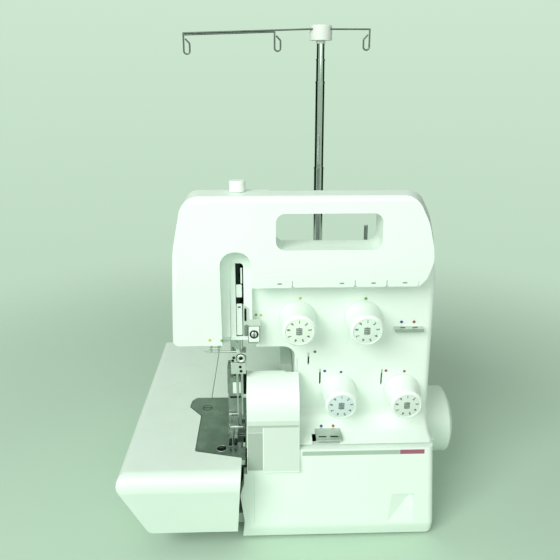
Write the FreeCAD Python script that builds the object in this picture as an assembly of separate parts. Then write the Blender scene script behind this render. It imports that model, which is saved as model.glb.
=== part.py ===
import FreeCAD, Part
import math
import os

os.makedirs("parts", exist_ok=True)

# Serger overlock machine. All lengths are millimetres.
# The machine is drawn about its own datum: X = 0 at the needle bar, Y = 0 at the
# front face of the looper cover, Z = 0 on the table, +X right, +Y back, +Z up.
# Every piece is moved by CENTRE on export, so that the origin is the middle of the footprint.

V = FreeCAD.Vector
DIRECTION = {"x": V(1, 0, 0), "y": V(0, 1, 0), "z": V(0, 0, 1)}

# ---- overall sizes ----
footprint_centre_x = 47.5
footprint_centre_y = 110.0
plate_left = -88.3
wheel_right = 183.1
plate_front = -25.0
stand_back = 245.0
head_left = -43.5
head_foot_left = -47.2
head_right = 147.0
base_right = 154.5
head_bottom = 168.4
arm_low = 158.8
head_top = 280.0
head_belly = 241.0
column_left = 43.4
bed_top = 80.0
body_back = 212.0
arm_back = 118.0
wall = 2.5
seam = 0.4
running = 0.05
seat = 0.02
part_line = 14.0
shoulder_radius = 14.0
throat_radius = 9.5
edge_radius = 4.0
lean_in = 7.7
corner_left = 9.0
cheek_x = 142.7
cheek_z = 260.1
brow_x = 133.0
brow_radius = 15.0
taper_low = 236.0
neck_low = 212.0
taper_back = 30.0
taper_run = 0.26

# ---- handle ----
handle_left = 28.3
handle_right = 102.7
handle_low = 242.0
handle_high = 268.0
handle_radius = 6.5
handle_back = 28.0

# ---- dial panel ----
panel_left = 45.6
panel_step = 148.5
panel_low = 83.5
panel_right = 148.0
panel_corner = 5.0
panel_tilt = 6.0
panel_ref_y = 20.0
panel_ref_z = 200.0
hood_low = 214.2
hood_right = 130.5
dial_centres = ((45.0, 183.6), (94.2, 183.3), (78.0, 118.9), (128.2, 118.4))
dial_names = ("left_needle_dial", "right_needle_dial", "upper_looper_dial", "lower_looper_dial")
dial_base_radius = 13.8
dial_rim_radius = 12.3
dial_length = 21.6
dial_gap = 0.4
stud_radius = 3.0
stud_back = 14.0
disc_radius = 8.0
disc_thick = 2.0
slot_width = 1.3
thread_slots = ((53.8, 142.0, 152.8), (63.2, 124.0, 138.4), (111.8, 122.8, 137.1))

# ---- needle channel ----
channel_half = 11.0
slot_left = -5.2
slot_right = 9.1
bar_room_back = 38.0
channel_top = 241.0
channel_back = 14.5
needle_y = 22.0
needle_bar_radius = 3.6
needle_bar_low = 140.0
needle_bar_high = 262.0
clamp_low = 137.0
clamp_high = 158.0
needle_tip = 101.0
needle_radius = 0.6

# ---- presser ----
presser_x = -4.0
presser_y = 46.0
presser_radius = 3.5
presser_low = 112.0
presser_high = 258.0
foot_pin_y = 32.0
foot_pin_z = 94.0
foot_pin_radius = 1.5
knob_x = 1.5
knob_y = 22.5
knob_radius = 5.85
knob_rise = 7.7
bar_bush_wall = 1.1

# ---- shafts and drive ----
shaft_y = 80.0
shaft_z = 60.0
shaft_radius = 6.0
upper_y = 84.0
upper_z = 196.0
upper_radius = 4.5
bush_wall = 4.0
wheel_radius = 28.2
wheel_left = 156.5
wheel_chamfer_x = 4.0
wheel_chamfer_r = 8.0
motor_y = 165.0
motor_z = 60.0
motor_radius = 26.0
pulley_left = 133.0
pulley_width = 9.0
shaft_pulley_radius = 24.0
motor_pulley_radius = 8.0
belt_thick = 2.4
belt_gap = 0.3

# ---- frame ----
frame_floor_low = 12.0
frame_floor_high = 18.0
frame_wall = 8.0
frame_left = -40.0
wall_b_left = 24.0
wall_c_left = 120.0
web_left = -37.0
web_front = 58.0
web_back = 66.0
bracket_thick = 8.0
bed_block_back = 84.0
bracket_front = 17.4
lower_bracket_low = 171.5
upper_bracket_low = 241.5

# ---- knives ----
knife_rod_x = 7.4
knife_rod_y = 44.0
knife_rod_radius = 2.5

# ---- cloth plate and bed ----
plate_right = 2.0
plate_bottom = 23.0
plate_lean = 3.6
plate_back = 206.0
plate_nose_z = 68.0
plate_foot_front = -13.0
plate_foot_left = -69.0
bed_seam = -27.4
bed_back = 207.0
pivot_radius = 17.0
pivot_pin_radius = 3.0
lug_low = 62.0
lug_high = 68.0
needle_plate_thick = 2.0

# ---- looper cover ----
cover_left = 3.2
cover_bottom = 3.0
cover_top = 82.3
door_foot_right = 154.2
door_top_right = 150.1
block_left = 6.0
block_right = 45.9
block_low = 65.5
block_crease = 101.0
block_top = 137.5
block_back = 42.0
block_crown_back = 26.0
block_step = 36.0
grip_left = 116.0
grip_right = 136.4
grip_low = 16.0
grip_high = 41.7
grip_depth = 4.5
hinge_y = 12.0
hinge_z = 10.0
hinge_radius = 2.0
ear_width = 6.0
ear_lefts = (22.0, 84.0, 134.0)
ear_gap = 1.5

# ---- base ----
tray_left = -58.0
tray_front = 18.0
tray_low = 5.0
tray_floor = 8.0
tray_rim = 19.0
foot_radius = 9.0
foot_places = ((-40.0, 36.0), (138.0, 36.0), (-40.0, 192.0), (138.0, 192.0), (50.0, 110.0))

# ---- spool stand and pole ----
ledge_z = 148.0
ledge_front = 150.0
stand_left = -25.0
stand_right = 150.0
stand_thick = 5.0
stand_rim = 4.0
pin_radius = 2.0
pin_top = 204.0
pin_places = ((0.0, 225.0), (31.0, 162.0), (93.0, 162.0), (130.0, 225.0))
pole_x = 78.0
pole_y = 225.0
pole_radii = (5.0, 4.65, 4.3, 3.95)
pole_lows = (155.0, 252.0, 281.0, 297.0)
pole_highs = (267.0, 353.6, 375.4, 403.0)
tube_wall = 0.3
crimp_height = 1.6
crimp_step = 0.3
holder_radius = 11.1
holder_low = 393.0
holder_high = 407.5
wire_radius = 0.8
wire_level = 403.2
wire_droop = 0.032
bend_x = 67.0
hook_centres = (-53.8, 35.0)
hook_right = 122.5
hook_depth = 19.5
hook_radius = 2.9

CENTRE = V(-footprint_centre_x, -footprint_centre_y, 0)


# ---- shared helpers ----
def box(x0, x1, y0, y1, z0, z1):
    return Part.makeBox(x1 - x0, y1 - y0, z1 - z0, V(x0, y0, z0))


def rod(axis, start, radius, length):
    return Part.makeCylinder(radius, length, V(*start), DIRECTION[axis])


def ring(axis, start, outer, inner, length):
    return rod(axis, start, outer, length).cut(rod(axis, start, inner, length))


def at_level(axis, u, v, level):
    """A point of a plane figure: (y, z) for axis x, (x, z) for axis y, (x, y) for axis z."""
    if axis == "x":
        return V(level, u, v)
    if axis == "y":
        return V(u, level, v)
    return V(u, v, level)


def figure(corners, axis, level):
    """A flat face from corners (u, v) or (u, v, radius), with tangent arcs where a radius is given."""
    edges = []
    ends = []
    count = len(corners)
    for i in range(count):
        u, v = corners[i][0], corners[i][1]
        radius = corners[i][2] if len(corners[i]) > 2 else 0.0
        here = V(u, v, 0)
        before = V(corners[i - 1][0], corners[i - 1][1], 0).sub(here)
        after = V(corners[(i + 1) % count][0], corners[(i + 1) % count][1], 0).sub(here)
        before.normalize()
        after.normalize()
        if radius <= 0:
            ends.append((here, None, here))
            continue
        half = before.getAngle(after) / 2
        reach = radius / math.tan(half)
        middle = before.add(after)
        middle.normalize()
        centre = here.add(middle.multiply(radius / math.sin(half)))
        crown = here.sub(centre)
        crown.normalize()
        crown = centre.add(crown.multiply(radius))
        ends.append((here.add(before.multiply(reach)), crown, here.add(after.multiply(reach))))
    for i in range(count):
        start, crown, end = ends[i]
        if crown is not None:
            points = [at_level(axis, p.x, p.y, level) for p in (start, crown, end)]
            edges.append(Part.Arc(*points).toShape())
        following = ends[(i + 1) % count][0]
        if end.distanceToPoint(following) > 1e-6:
            first = at_level(axis, end.x, end.y, level)
            second = at_level(axis, following.x, following.y, level)
            edges.append(Part.LineSegment(first, second).toShape())
    return Part.Face(Part.Wire(edges))


def prism(corners, axis, low, high, grow=0.0):
    """The figure stretched from low to high along the axis, first grown outwards by grow."""
    face = figure(corners, axis, low)
    if grow:
        face = face.makeOffset2D(grow, 1)
    return face.extrude(DIRECTION[axis] * (high - low))


def fuse(shapes):
    return shapes[0].multiFuse(shapes[1:]).removeSplitter()


def save(name, shapes):
    """Write one node. A list stays separate solids."""
    solids = shapes if isinstance(shapes, list) else [shapes]
    flat = [solid for shape in solids for solid in shape.Solids]
    node = Part.Compound(flat) if len(flat) > 1 else flat[0]
    node.translate(CENTRE)
    node.exportStep("parts/" + name + ".step")


def side_x(z):
    """The right side of the body leans out towards the table."""
    return head_right + (base_right - head_right) * (head_belly - z) / head_belly


def door_x(z):
    """The right side of the looper cover leans a little more."""
    share = (z - cover_bottom) / (cover_top - cover_bottom)
    return door_foot_right - (door_foot_right - door_top_right) * share


def panel_y(z):
    """The dial panel leans back towards its lower edge."""
    return panel_ref_y + (panel_ref_z - z) * math.tan(math.radians(panel_tilt))


# ---- casings ----
def head_outline():
    """Front view shared by the front and rear covers, from the throat over the top to the right side."""
    return [(column_left, arm_low, throat_radius),
            (channel_half + wall, arm_low),
            (channel_half + wall, head_bottom),
            (head_foot_left, head_bottom, 5.0),
            (head_left, head_belly, 60.0),
            (head_left + lean_in, head_top, shoulder_radius)] + right_side()


def right_side():
    """Front view of the head's right side, from the top down."""
    return [(brow_x, head_top, brow_radius), (cheek_x, cheek_z, 40.0), (head_right, head_belly, 60.0)]


def head_room(inset):
    """Space inside the head's right side, which runs outwards on its way back."""
    low = taper_low - 10
    corners = [(-150, low), (-150, head_top)] + right_side() + [(side_x(low), low)]
    face = figure(corners, "y", -20)
    if inset:
        face = face.makeOffset2D(-inset, 1)
    face.translate(V(-taper_run * (taper_back + 20), 0, 0))
    slanted = face.extrude(V(taper_run * (taper_back + 20), taper_back + 20, 0))
    behind = box(-200, 300, taper_back, 300, -50, 400)
    near_x = head_right - taper_run * (taper_back - part_line) - inset
    below = [(-200, -50), (300, -50), (300, neck_low), (side_x(neck_low) - inset, neck_low),
             (near_x, taper_low), (-200, taper_low)]
    below = prism(below, "y", -50, 300)
    return slanted.multiFuse([behind, below])


def front_outline():
    return head_outline() + [(side_x(panel_low), panel_low), (panel_left, panel_low),
                             (panel_left, panel_step), (column_left, panel_step)]


def hood_outline():
    """Front view of the raised head, which ends above the dial panel."""
    return [(channel_half, head_bottom - 2),
            (head_foot_left - 5, head_bottom - 2),
            (head_foot_left - 5, head_top + 5),
            (head_right + 5, head_top + 5),
            (head_right + 5, taper_low),
            (hood_right + 9.1, taper_low),
            (hood_right + 9.1, hood_low + 18.5, 12.0),
            (hood_right + 5.3, hood_low + 6.3, 9.0),
            (hood_right, hood_low, 5.0),
            (channel_half, hood_low)]


def rear_outline(bottom):
    return head_outline() + [(side_x(bottom), bottom), (column_left, bottom)]


def cover_back():
    """The front cover ends just behind the panel's lower corner."""
    return panel_y(panel_low) + panel_corner + 4.8


def front_body(inset):
    """The front as a full block, shrunk by inset on every side but the open back."""
    back = cover_back() + 3 * inset
    low = head_bottom - 6
    face = [(7.0 + inset, low), (0.8 + inset, 225.0, 120.0), (2.5 + inset, head_top, edge_radius),
            (back, head_top), (back, low)]
    hood = prism(face, "x", -80, 200).common(prism(hood_outline(), "y", -10, back, -inset))
    plan = [(head_foot_left + inset, back + 1), (head_foot_left + inset, 0.8 + inset, corner_left - inset),
            (head_right, 0.8 + inset), (head_right, back + 1)]
    hood = hood.common(prism(plan, "z", head_bottom - 10, head_top + 10))
    foot = panel_low - 4
    plane_top = head_belly + 10
    dish = [(7.5, foot), (7.5, panel_low), (panel_y(panel_low + 5.5), panel_low + 5.5, 14.0),
            (panel_y(plane_top), plane_top), (back + inset, plane_top), (back + inset, foot)]
    dish = prism(dish, "x", channel_half - 8, 200, -inset)
    if not inset:
        lean = [(-60, foot - 5), (side_x(foot - 5), foot - 5), (side_x(plane_top + 5), plane_top + 5),
                (-60, plane_top + 5)]
        dish = dish.common(prism(lean, "y", -20, 60))
        dish = dish.makeFillet(panel_corner, right_front_edges(dish, cover_back(), side_x))
    body = dish.multiFuse([hood]).common(prism(front_outline(), "y", -10, back, -inset))
    return body.common(head_room(inset))


def right_front_edges(block, back, side):
    """The edges where the front of a block meets its right side."""
    found = []
    for edge in block.Edges:
        ends = [v.Point for v in edge.Vertexes]
        if len(ends) < 2:
            continue
        on_side = all(abs(p.x - side(p.z)) < 0.05 for p in ends)
        rising = abs(ends[0].z - ends[1].z) > 1
        forward = min(p.y for p in ends) < back - 1
        if on_side and rising and forward:
            found.append(edge)
    return found


def front_half(gap):
    """The space in front of the parting line between the two covers."""
    rise = part_line + gap
    slope = [(part_line - 8, panel_low - 1 - gap), (part_line - 8, 236.0), (rise, 236.0),
             (panel_y(224) + panel_corner + 1 + gap, 224.0),
             (panel_y(panel_low) + panel_corner + 1 + gap, panel_low - 1 - gap)]
    return fuse([box(-100, 200, -20, rise, -20, 400), prism(slope, "x", channel_half - gap, 200)])


def handle_hole(grow, low, high):
    corners = [(handle_left, handle_low, handle_radius), (handle_right, handle_low, handle_radius),
               (handle_right, handle_high, handle_radius), (handle_left, handle_high, handle_radius)]
    return prism(corners, "y", low, high, grow)


def channel_shape(grow, low, high):
    radius = channel_half - 1
    corners = [(-channel_half, head_bottom - 12), (channel_half, head_bottom - 12),
               (channel_half, channel_top, radius), (-channel_half, channel_top, radius)]
    return prism(corners, "y", low, high, grow)


def stud_axis(x, z, shift):
    """A point on a dial axis, shift in front of the panel, and the axis direction out of it."""
    tilt = math.radians(panel_tilt)
    out = V(0, -math.cos(tilt), -math.sin(tilt))
    return V(x, panel_y(z), z).add(out * shift), out


def front_cover():
    outer = front_body(0).common(box(-100, 200, -10, cover_back(), 0, 400))
    inner = front_body(wall)
    shell = outer.cut(inner)
    liner = channel_shape(wall, 0, channel_back + wall).cut(channel_shape(0, -10, channel_back))
    shell = shell.cut(channel_shape(0, -10, channel_back))
    frame = handle_hole(wall, 0, part_line).cut(handle_hole(0, -10, part_line + 1))
    shell = fuse([shell, liner.common(outer), frame.common(outer)])
    shell = shell.cut(handle_hole(0, -10, 60))
    tray = prism(front_outline(), "y", part_line, cover_back() + 1, -(wall + seam))
    tray = tray.common(head_room(wall + seam))
    shelf = box(panel_left + 0.7, panel_right, part_line - 1, 30, panel_low, panel_low + 8)
    keep = fuse([front_half(0), tray, shelf])
    shell = shell.common(keep)
    slot = [(slot_left, head_bottom - 1), (slot_right, head_bottom - 1), (slot_right, 194.0, 2.0),
            (4.9, 197.0, 2.0), (4.9, 229.0, 2.6), (slot_left + 0.8, 229.0, 2.6), (slot_left, 205.0)]
    cuts = [prism(slot, "y", 10, 20),
            box(slot_left, slot_right, 12, 34, head_bottom - 1, head_bottom + wall + 0.4),
            box(56.5, 78.0, 0, 22, panel_low - 1, panel_low + 2.4)]
    for x, z in dial_centres:
        point, out = stud_axis(x, z, -8)
        cuts.append(Part.makeCylinder(stud_radius + running, 16, point, out))
    for x, low, high in thread_slots:
        cuts.append(box(x - slot_width / 2, x + slot_width / 2, 10, 36, low, high))
    for cut in cuts:
        shell = shell.cut(cut)
    return shell


def rear_body(inset):
    """The rear as a full block, open to the front and below."""
    low = [(-20, -5), (-20, head_top), (handle_back, head_top, 4.0), (handle_back, 233.0, 5.0),
           (141.0, 197.0, 8.0), (ledge_front, 187.0, 5.0), (ledge_front, ledge_z, 0.8),
           (body_back, ledge_z, 5.0), (body_back, -5)]
    arm = [(-20, 100), (-20, head_top), (30.0, head_top, 6.0), (104.0, 252.0, 14.0),
           (arm_back, 237.0, 9.0), (arm_back, 100)]
    arm_right = 24.0
    bottom = tray_rim - 3 * inset
    outline = prism(rear_outline(bottom), "y", -15, body_back + 1, -inset)
    arm_part = prism(arm, "x", -80, arm_right - inset, -inset)
    low_part = prism(low, "x", arm_right + inset, 200, -inset)
    parts = [arm_part, low_part]
    if inset:
        arm_link = prism(arm, "x", arm_right - inset, arm_right + inset, -inset)
        parts.append(arm_link.common(prism(low, "x", arm_right - inset, arm_right + inset, -inset)))
    return parts[0].multiFuse(parts[1:]).common(outline).common(head_room(inset))


def side_window(gap):
    return box(140, 170, 40 + gap, ledge_front - 4 - gap, 24 + gap, 112 - gap)


def rear_cover():
    outer = rear_body(0)
    inner = rear_body(wall)
    shell = outer.cut(inner)
    frame = handle_hole(wall, part_line - 1, handle_back).cut(handle_hole(0, 0, 60))
    shell = fuse([shell, frame.common(outer)]).cut(front_half(0.2))
    cuts = [handle_hole(0, 0, 60),
            box(column_left - 1, column_left + wall + 0.5, 0, 300, 0, bed_top + 0.3),
            side_window(0),
            rod("z", (knob_x, knob_y, head_top - 8), 3.0 + running, 12),
            box(-channel_half - wall - seam, channel_half + wall + 2.5, 0, channel_back + wall + seam,
                head_bottom - 2, head_bottom + wall + 0.5),
            box(slot_left - seam, slot_right + seam, 0, bar_room_back,
                head_bottom - 2, head_bottom + wall + 0.5),
            rod("z", (presser_x, presser_y, head_bottom - 2), presser_radius + 1.5, 8),
            box(-24.5, -15.5, 82, arm_back + 2, head_bottom - 2, head_bottom + 30),
            rod("x", (140, 170, 110), 3 + running, 20),
            box(145, 160, 176, 202, 28, 82)]
    for x in (60.0, 130.0):
        cuts.append(rod("z", (x, 180, ledge_z - wall - 1), 2.05, 8))
        cuts.append(rod("y", (x, body_back - wall - 1, 60), 2.05, 8))
    for cut in cuts:
        shell = shell.cut(cut)
    return shell


def side_cover():
    plate = rear_body(0).cut(rear_body(wall)).common(side_window(0.3))
    plate = plate.cut(rod("x", (140, shaft_y, shaft_z), shaft_radius + 3, 30))
    return plate.cut(rod("x", (140, 124, 92), 3 + running, 30))


def plate_skin(inset, open_side):
    """The cloth plate as a full block: front and left skirts lean in towards the table."""
    right = plate_right + open_side
    front = [(plate_foot_front + inset, plate_bottom), (plate_front + inset, plate_nose_z, 10.0),
             (plate_front + 0.4 + inset, bed_top - inset, 9.5 - inset),
             (plate_back - inset, bed_top - inset, 3.0),
             (plate_back - inset, plate_bottom)]
    foot_corner = 5.0 if not inset else 0.0
    left = [(plate_foot_left + inset, plate_bottom, foot_corner),
            (plate_left + inset, plate_nose_z + 4, 10.0),
            (plate_left + 1 + inset, bed_top - inset, 5.0 - inset), (right, bed_top - inset),
            (right - plate_lean / 3, 62.0), (right - plate_lean, plate_bottom)]
    return prism(front, "x", -120, 60).common(prism(left, "y", -60, 240))


def needle_plate_corners():
    return [(4.6, -2.4), (-33.8, 7.4, 1.5), (-33.9, 57.0, 2.0), (-45.0, 71.2, 3.0),
            (-44.0, 81.6, 3.0), (-40.2, 86.5, 3.0), (4.6, 85.4)]


def pivot_place():
    return bed_seam + pivot_radius, bed_back - pivot_radius


def cloth_plate():
    shell = plate_skin(0, 0).cut(plate_skin(wall, 10))
    end_wall = plate_skin(0, 0)
    shifted = end_wall.copy()
    shifted.translate(V(-wall, 0, 0))
    end_wall = end_wall.cut(shifted).common(box(-60, 50, -60, -3.5, 0, 100))
    shell = fuse([shell, end_wall])
    gap = 0.6
    shell = shell.cut(prism(needle_plate_corners(), "z", 10, 100, gap))
    shell = shell.cut(box(bed_seam - gap, 60, 80, 300, 0, 100))
    shell = shell.cut(box(4.0, 60, -2.4, 300, 0, 100))
    px, py = pivot_place()
    rib = box(bed_seam - 13, bed_seam - 1.6, py - 6, py + 6, lug_low, bed_top - wall)
    arm = box(bed_seam - 13, px, py - 6, py + 6, lug_low, lug_high)
    lug = rod("z", (px, py, lug_low), 8, lug_high - lug_low)
    shell = fuse([shell, rib, arm, lug])
    return shell.cut(rod("z", (px, py, lug_low - 2), pivot_pin_radius + running, 20))


def cloth_plate_pin():
    px, py = pivot_place()
    pin = rod("z", (px, py, 40), pivot_pin_radius, lug_high + 0.3 - 40)
    return fuse([pin, rod("z", (px, py, lug_high + 0.3), 5, 2)])


def needle_plate():
    plate = prism(needle_plate_corners(), "z", bed_top - needle_plate_thick, bed_top)
    cuts = [box(-3.7, 10, 17.6, 26, 70, 90),
            box(1.4, 10, 11, 26, 70, 90),
            box(-8.8, -4.7, 30, 56, 70, 90),
            box(-3.8, 0.3, 30, 56, 70, 90)]
    for x, y in plate_screw_places:
        cuts.append(rod("z", (x, y, 70), 2.05, 20))
        cuts.append(rod("z", (x, y, bed_top - 1.2), 4.05, 4))
    for cut in cuts:
        plate = plate.cut(cut)
    return plate


plate_screw_places = ((-30.0, 69.4), (-14.0, 10.0))


def plate_screws():
    screws = []
    for x, y in plate_screw_places:
        shank = rod("z", (x, y, bed_top - 9), 2.0, 8.2)
        head = rod("z", (x, y, bed_top - 1.2), 4.0, 1.2)
        slot = box(x - 5, x + 5, y - 0.4, y + 0.4, bed_top - 0.6, bed_top + 1)
        screws.append(fuse([shank, head]).cut(slot))
    return screws


def bed_cover():
    px, py = pivot_place()
    corners = [(bed_seam, 87.2), (5.2, 87.2), (5.2, 44.0), (column_left - seam, 44.0),
               (column_left - seam, bed_back), (bed_seam, bed_back, pivot_radius)]
    top = prism(corners, "z", bed_top - wall, bed_top)
    step = box(22, column_left - seam, 64, 128, bed_top - wall, 90)
    step = step.cut(box(24.5, column_left - seam - 2.5, 66.5, 125.5, 0, 87.5))
    post = box(33.7, column_left - seam, 66, 108, bed_top - wall, 122.6)
    post = post.cut(box(33.7 + wall, column_left - seam - wall, 66 + wall, 108 - wall, 0, 122.6 - wall))
    skirt = box(px + 9, column_left - seam, bed_back - wall, bed_back, tray_rim + 0.3, bed_top)
    top = top.cut(box(24.5, column_left - seam - 2.5, 66.5, 125.5, 0, 87.5))
    knife_hole = rod("z", (knife_rod_x, knife_rod_y, 60), knife_rod_radius + 0.8, 30)
    step = step.cut(box(33.7 + wall, column_left - seam - wall, 66 + wall, 108 - wall, 0, 122.6 - wall))
    return fuse([top, step, post, skirt]).cut(knife_hole)


def cover_section(inset, low, right):
    """Side view of the raised block of the looper cover."""
    return [(-0.8 + inset, low), (4.3 + inset, block_crease), (1.5 + inset, block_top - inset, 24.0 - inset),
            (right, block_top - inset), (right, low)]


def looper_cover():
    right = door_x(cover_bottom)
    wrap = [(cover_left - 1.6, cover_bottom), (right, cover_bottom, 6.0), (door_x(cover_top), cover_top),
            (cover_left, cover_top), (cover_left, 54.0), (cover_left - 3.2, 43.0, 3.0), (cover_left, 20.0)]
    front = [(5.0, cover_bottom), (1.0, cover_bottom + 11, 14.0), (3.0, cover_top),
             (part_line - 0.3, cover_top), (part_line - 0.3, cover_bottom)]
    lean = [(cover_left - 5, cover_bottom - 1), (door_x(cover_bottom - 1), cover_bottom - 1),
            (door_x(cover_top + 1), cover_top + 1), (cover_left - 5, cover_top + 1)]
    outer = prism(front, "x", cover_left - 5, right + 1).common(prism(lean, "y", -5, 30))
    outer = outer.makeFillet(panel_corner, right_front_edges(outer, part_line, door_x))
    outer = outer.common(prism(wrap, "y", -5, 30))
    inner = [(5.0 + wall, cover_bottom - 9), (5.0 + wall, cover_bottom),
             (1.0 + wall, cover_bottom + 11, 11.5), (3.0 + wall, cover_top - wall),
             (part_line + 5, cover_top - wall), (part_line + 5, cover_bottom - 9)]
    inner = prism(inner, "x", cover_left + wall, right + 1)
    inner_wrap = [(cover_left, cover_bottom - 9), (right - wall, cover_bottom - 9),
                  (door_x(cover_top) - wall, cover_top), (cover_left, cover_top)]
    lower = outer.cut(inner.common(prism(inner_wrap, "y", -5, 40)))
    lower = lower.cut(box(cover_left - 1, cover_left + wall, -5, 30, 62, bed_top + 3))
    block = prism(cover_section(0, block_low, block_back), "x", block_left, block_right)
    block = block.cut(box(block_step, 60, 24, 60, block_crease + 3, 200))
    crown = [(block_crown_back, 200), (block_crown_back, 117), (block_back + 1, 101), (block_back + 1, 200)]
    block = block.cut(prism(crown, "x", 0, 60))
    block = block.cut(box(block_step, 60, 6.3, 60, 0, block_crease + 3))
    hollow = prism(cover_section(wall, block_low - 5, block_back + 5), "x",
                   block_left + wall, block_step - wall)
    block = block.cut(box(column_left - seam, 60, part_line - 0.1, 60, 0, block_crease + 3))
    block = block.cut(box(block_left - 1, knife_rod_x + 3, 10, 60, 0, 96))
    block = block.cut(box(block_step - wall - 1, 60, 30, 60, 0, 92))
    near = prism(cover_section(wall, block_crease + 3 + wall, 21.5), "x",
                 block_step - wall - 1, block_right - wall)
    block = block.cut(hollow).cut(near.common(box(0, 100, 0, 21.5, block_crease + 3 + wall, 200)))
    block = block.cut(box(block_left - 1, 18.3, -5, 0.9, block_low - 1, block_crease - 4))
    window = box(block_left + wall, block_step - wall, 1, 40, block_low + 3, cover_top + 1)
    lower = lower.cut(window)
    lower = lower.cut(box(cover_left - 1, knife_rod_x + 3, 10, 30, 60, 96))
    lower = lower.cut(box(cover_left - 1, block_left, -5, 20, bed_top - needle_plate_thick - 0.5, 90))
    ears = []
    for x in ear_lefts:
        ear = rod("x", (x, hinge_y, hinge_z), 4.0, ear_width)
        ears.append(fuse([ear, box(x, x + ear_width, 6.4, hinge_y, hinge_z - 4, hinge_z + 4)]))
    backing = box(grip_left - wall, grip_right + wall, 3.0, 4.2 + grip_depth,
                  grip_low - 0.5, grip_high + wall)
    cover = fuse([lower, block, backing] + ears).cut(finger_grip())
    cover = cover.cut(box(-20, 200, 8, 30, 0, hinge_z - 4))  # room for the tray's edge when it is tipped
    return cover.cut(rod("x", (0, hinge_y, hinge_z), hinge_radius + running, 160))


def finger_grip():
    """A pocket for a fingertip, deepest at its upper right corner."""
    face_low, face_high = 1.1, 1.8
    across = [(grip_left, -5), (grip_right, -5), (grip_right, face_high + grip_depth), (grip_left, face_low)]
    upward = [(-5, grip_low), (face_low, grip_low), (face_high + grip_depth, grip_high), (-5, grip_high)]
    return prism(across, "z", 0, 60).common(prism(upward, "x", 100, 150))


def hinge_boss_lefts():
    return [x - ear_gap - ear_width for x in ear_lefts]


def cover_hinge_rod():
    start = hinge_boss_lefts()[0] - 1
    length = ear_lefts[-1] + ear_width + 2 - start
    rod_body = rod("x", (start, hinge_y, hinge_z), hinge_radius, length)
    collar = rod("x", (start + length - 2, hinge_y, hinge_z), hinge_radius + 1.2, 2)
    return fuse([rod_body, collar])


def base_tray():
    right = side_x(tray_rim)
    floor = box(tray_left, right, tray_front, body_back, tray_low, tray_floor)
    outer = box(tray_left, right, tray_front, body_back, tray_low, tray_rim)
    inner = box(tray_left + wall, right - wall, tray_front + wall, body_back - wall,
                tray_low - 1, tray_rim + 5)
    rim = outer.cut(inner).cut(box(-100, 200, 0, tray_front + wall + 1, tray_low + 9, 40))
    pieces = [floor, rim]
    for x in hinge_boss_lefts():
        tongue = box(x, x + ear_width, hinge_y, tray_front + 2, tray_floor, hinge_z + 3.5)
        pieces.append(tongue)
        pieces.append(rod("x", (x, hinge_y, hinge_z), 3.8, ear_width))
    for x, y in ((-30, 52), (132, 52), (-8, 180), (132, 188)):
        pieces.append(rod("z", (x, y, tray_floor), 6, frame_floor_low - tray_floor))
    px, py = pivot_place()
    pieces.append(rod("z", (px, py, tray_floor), 8, lug_low - 0.3 - tray_floor))
    tray = fuse(pieces)
    tray = tray.cut(rod("x", (0, hinge_y, hinge_z), hinge_radius + running, 160))
    tray = tray.cut(rod("z", (px, py, 40), pivot_pin_radius + seat, 40))
    for x, y in foot_places:
        tray = tray.cut(rod("z", (x, y, tray_low - 1), 4.0 + seat, 3))
    return tray


def rubber_feet():
    feet = []
    for x, y in foot_places:
        foot = Part.makeCone(foot_radius - 1.5, foot_radius, tray_low, V(x, y, 0))
        feet.append(fuse([foot, rod("z", (x, y, tray_low - 0.5), 4.0, 2.3)]))
    return feet


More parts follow.
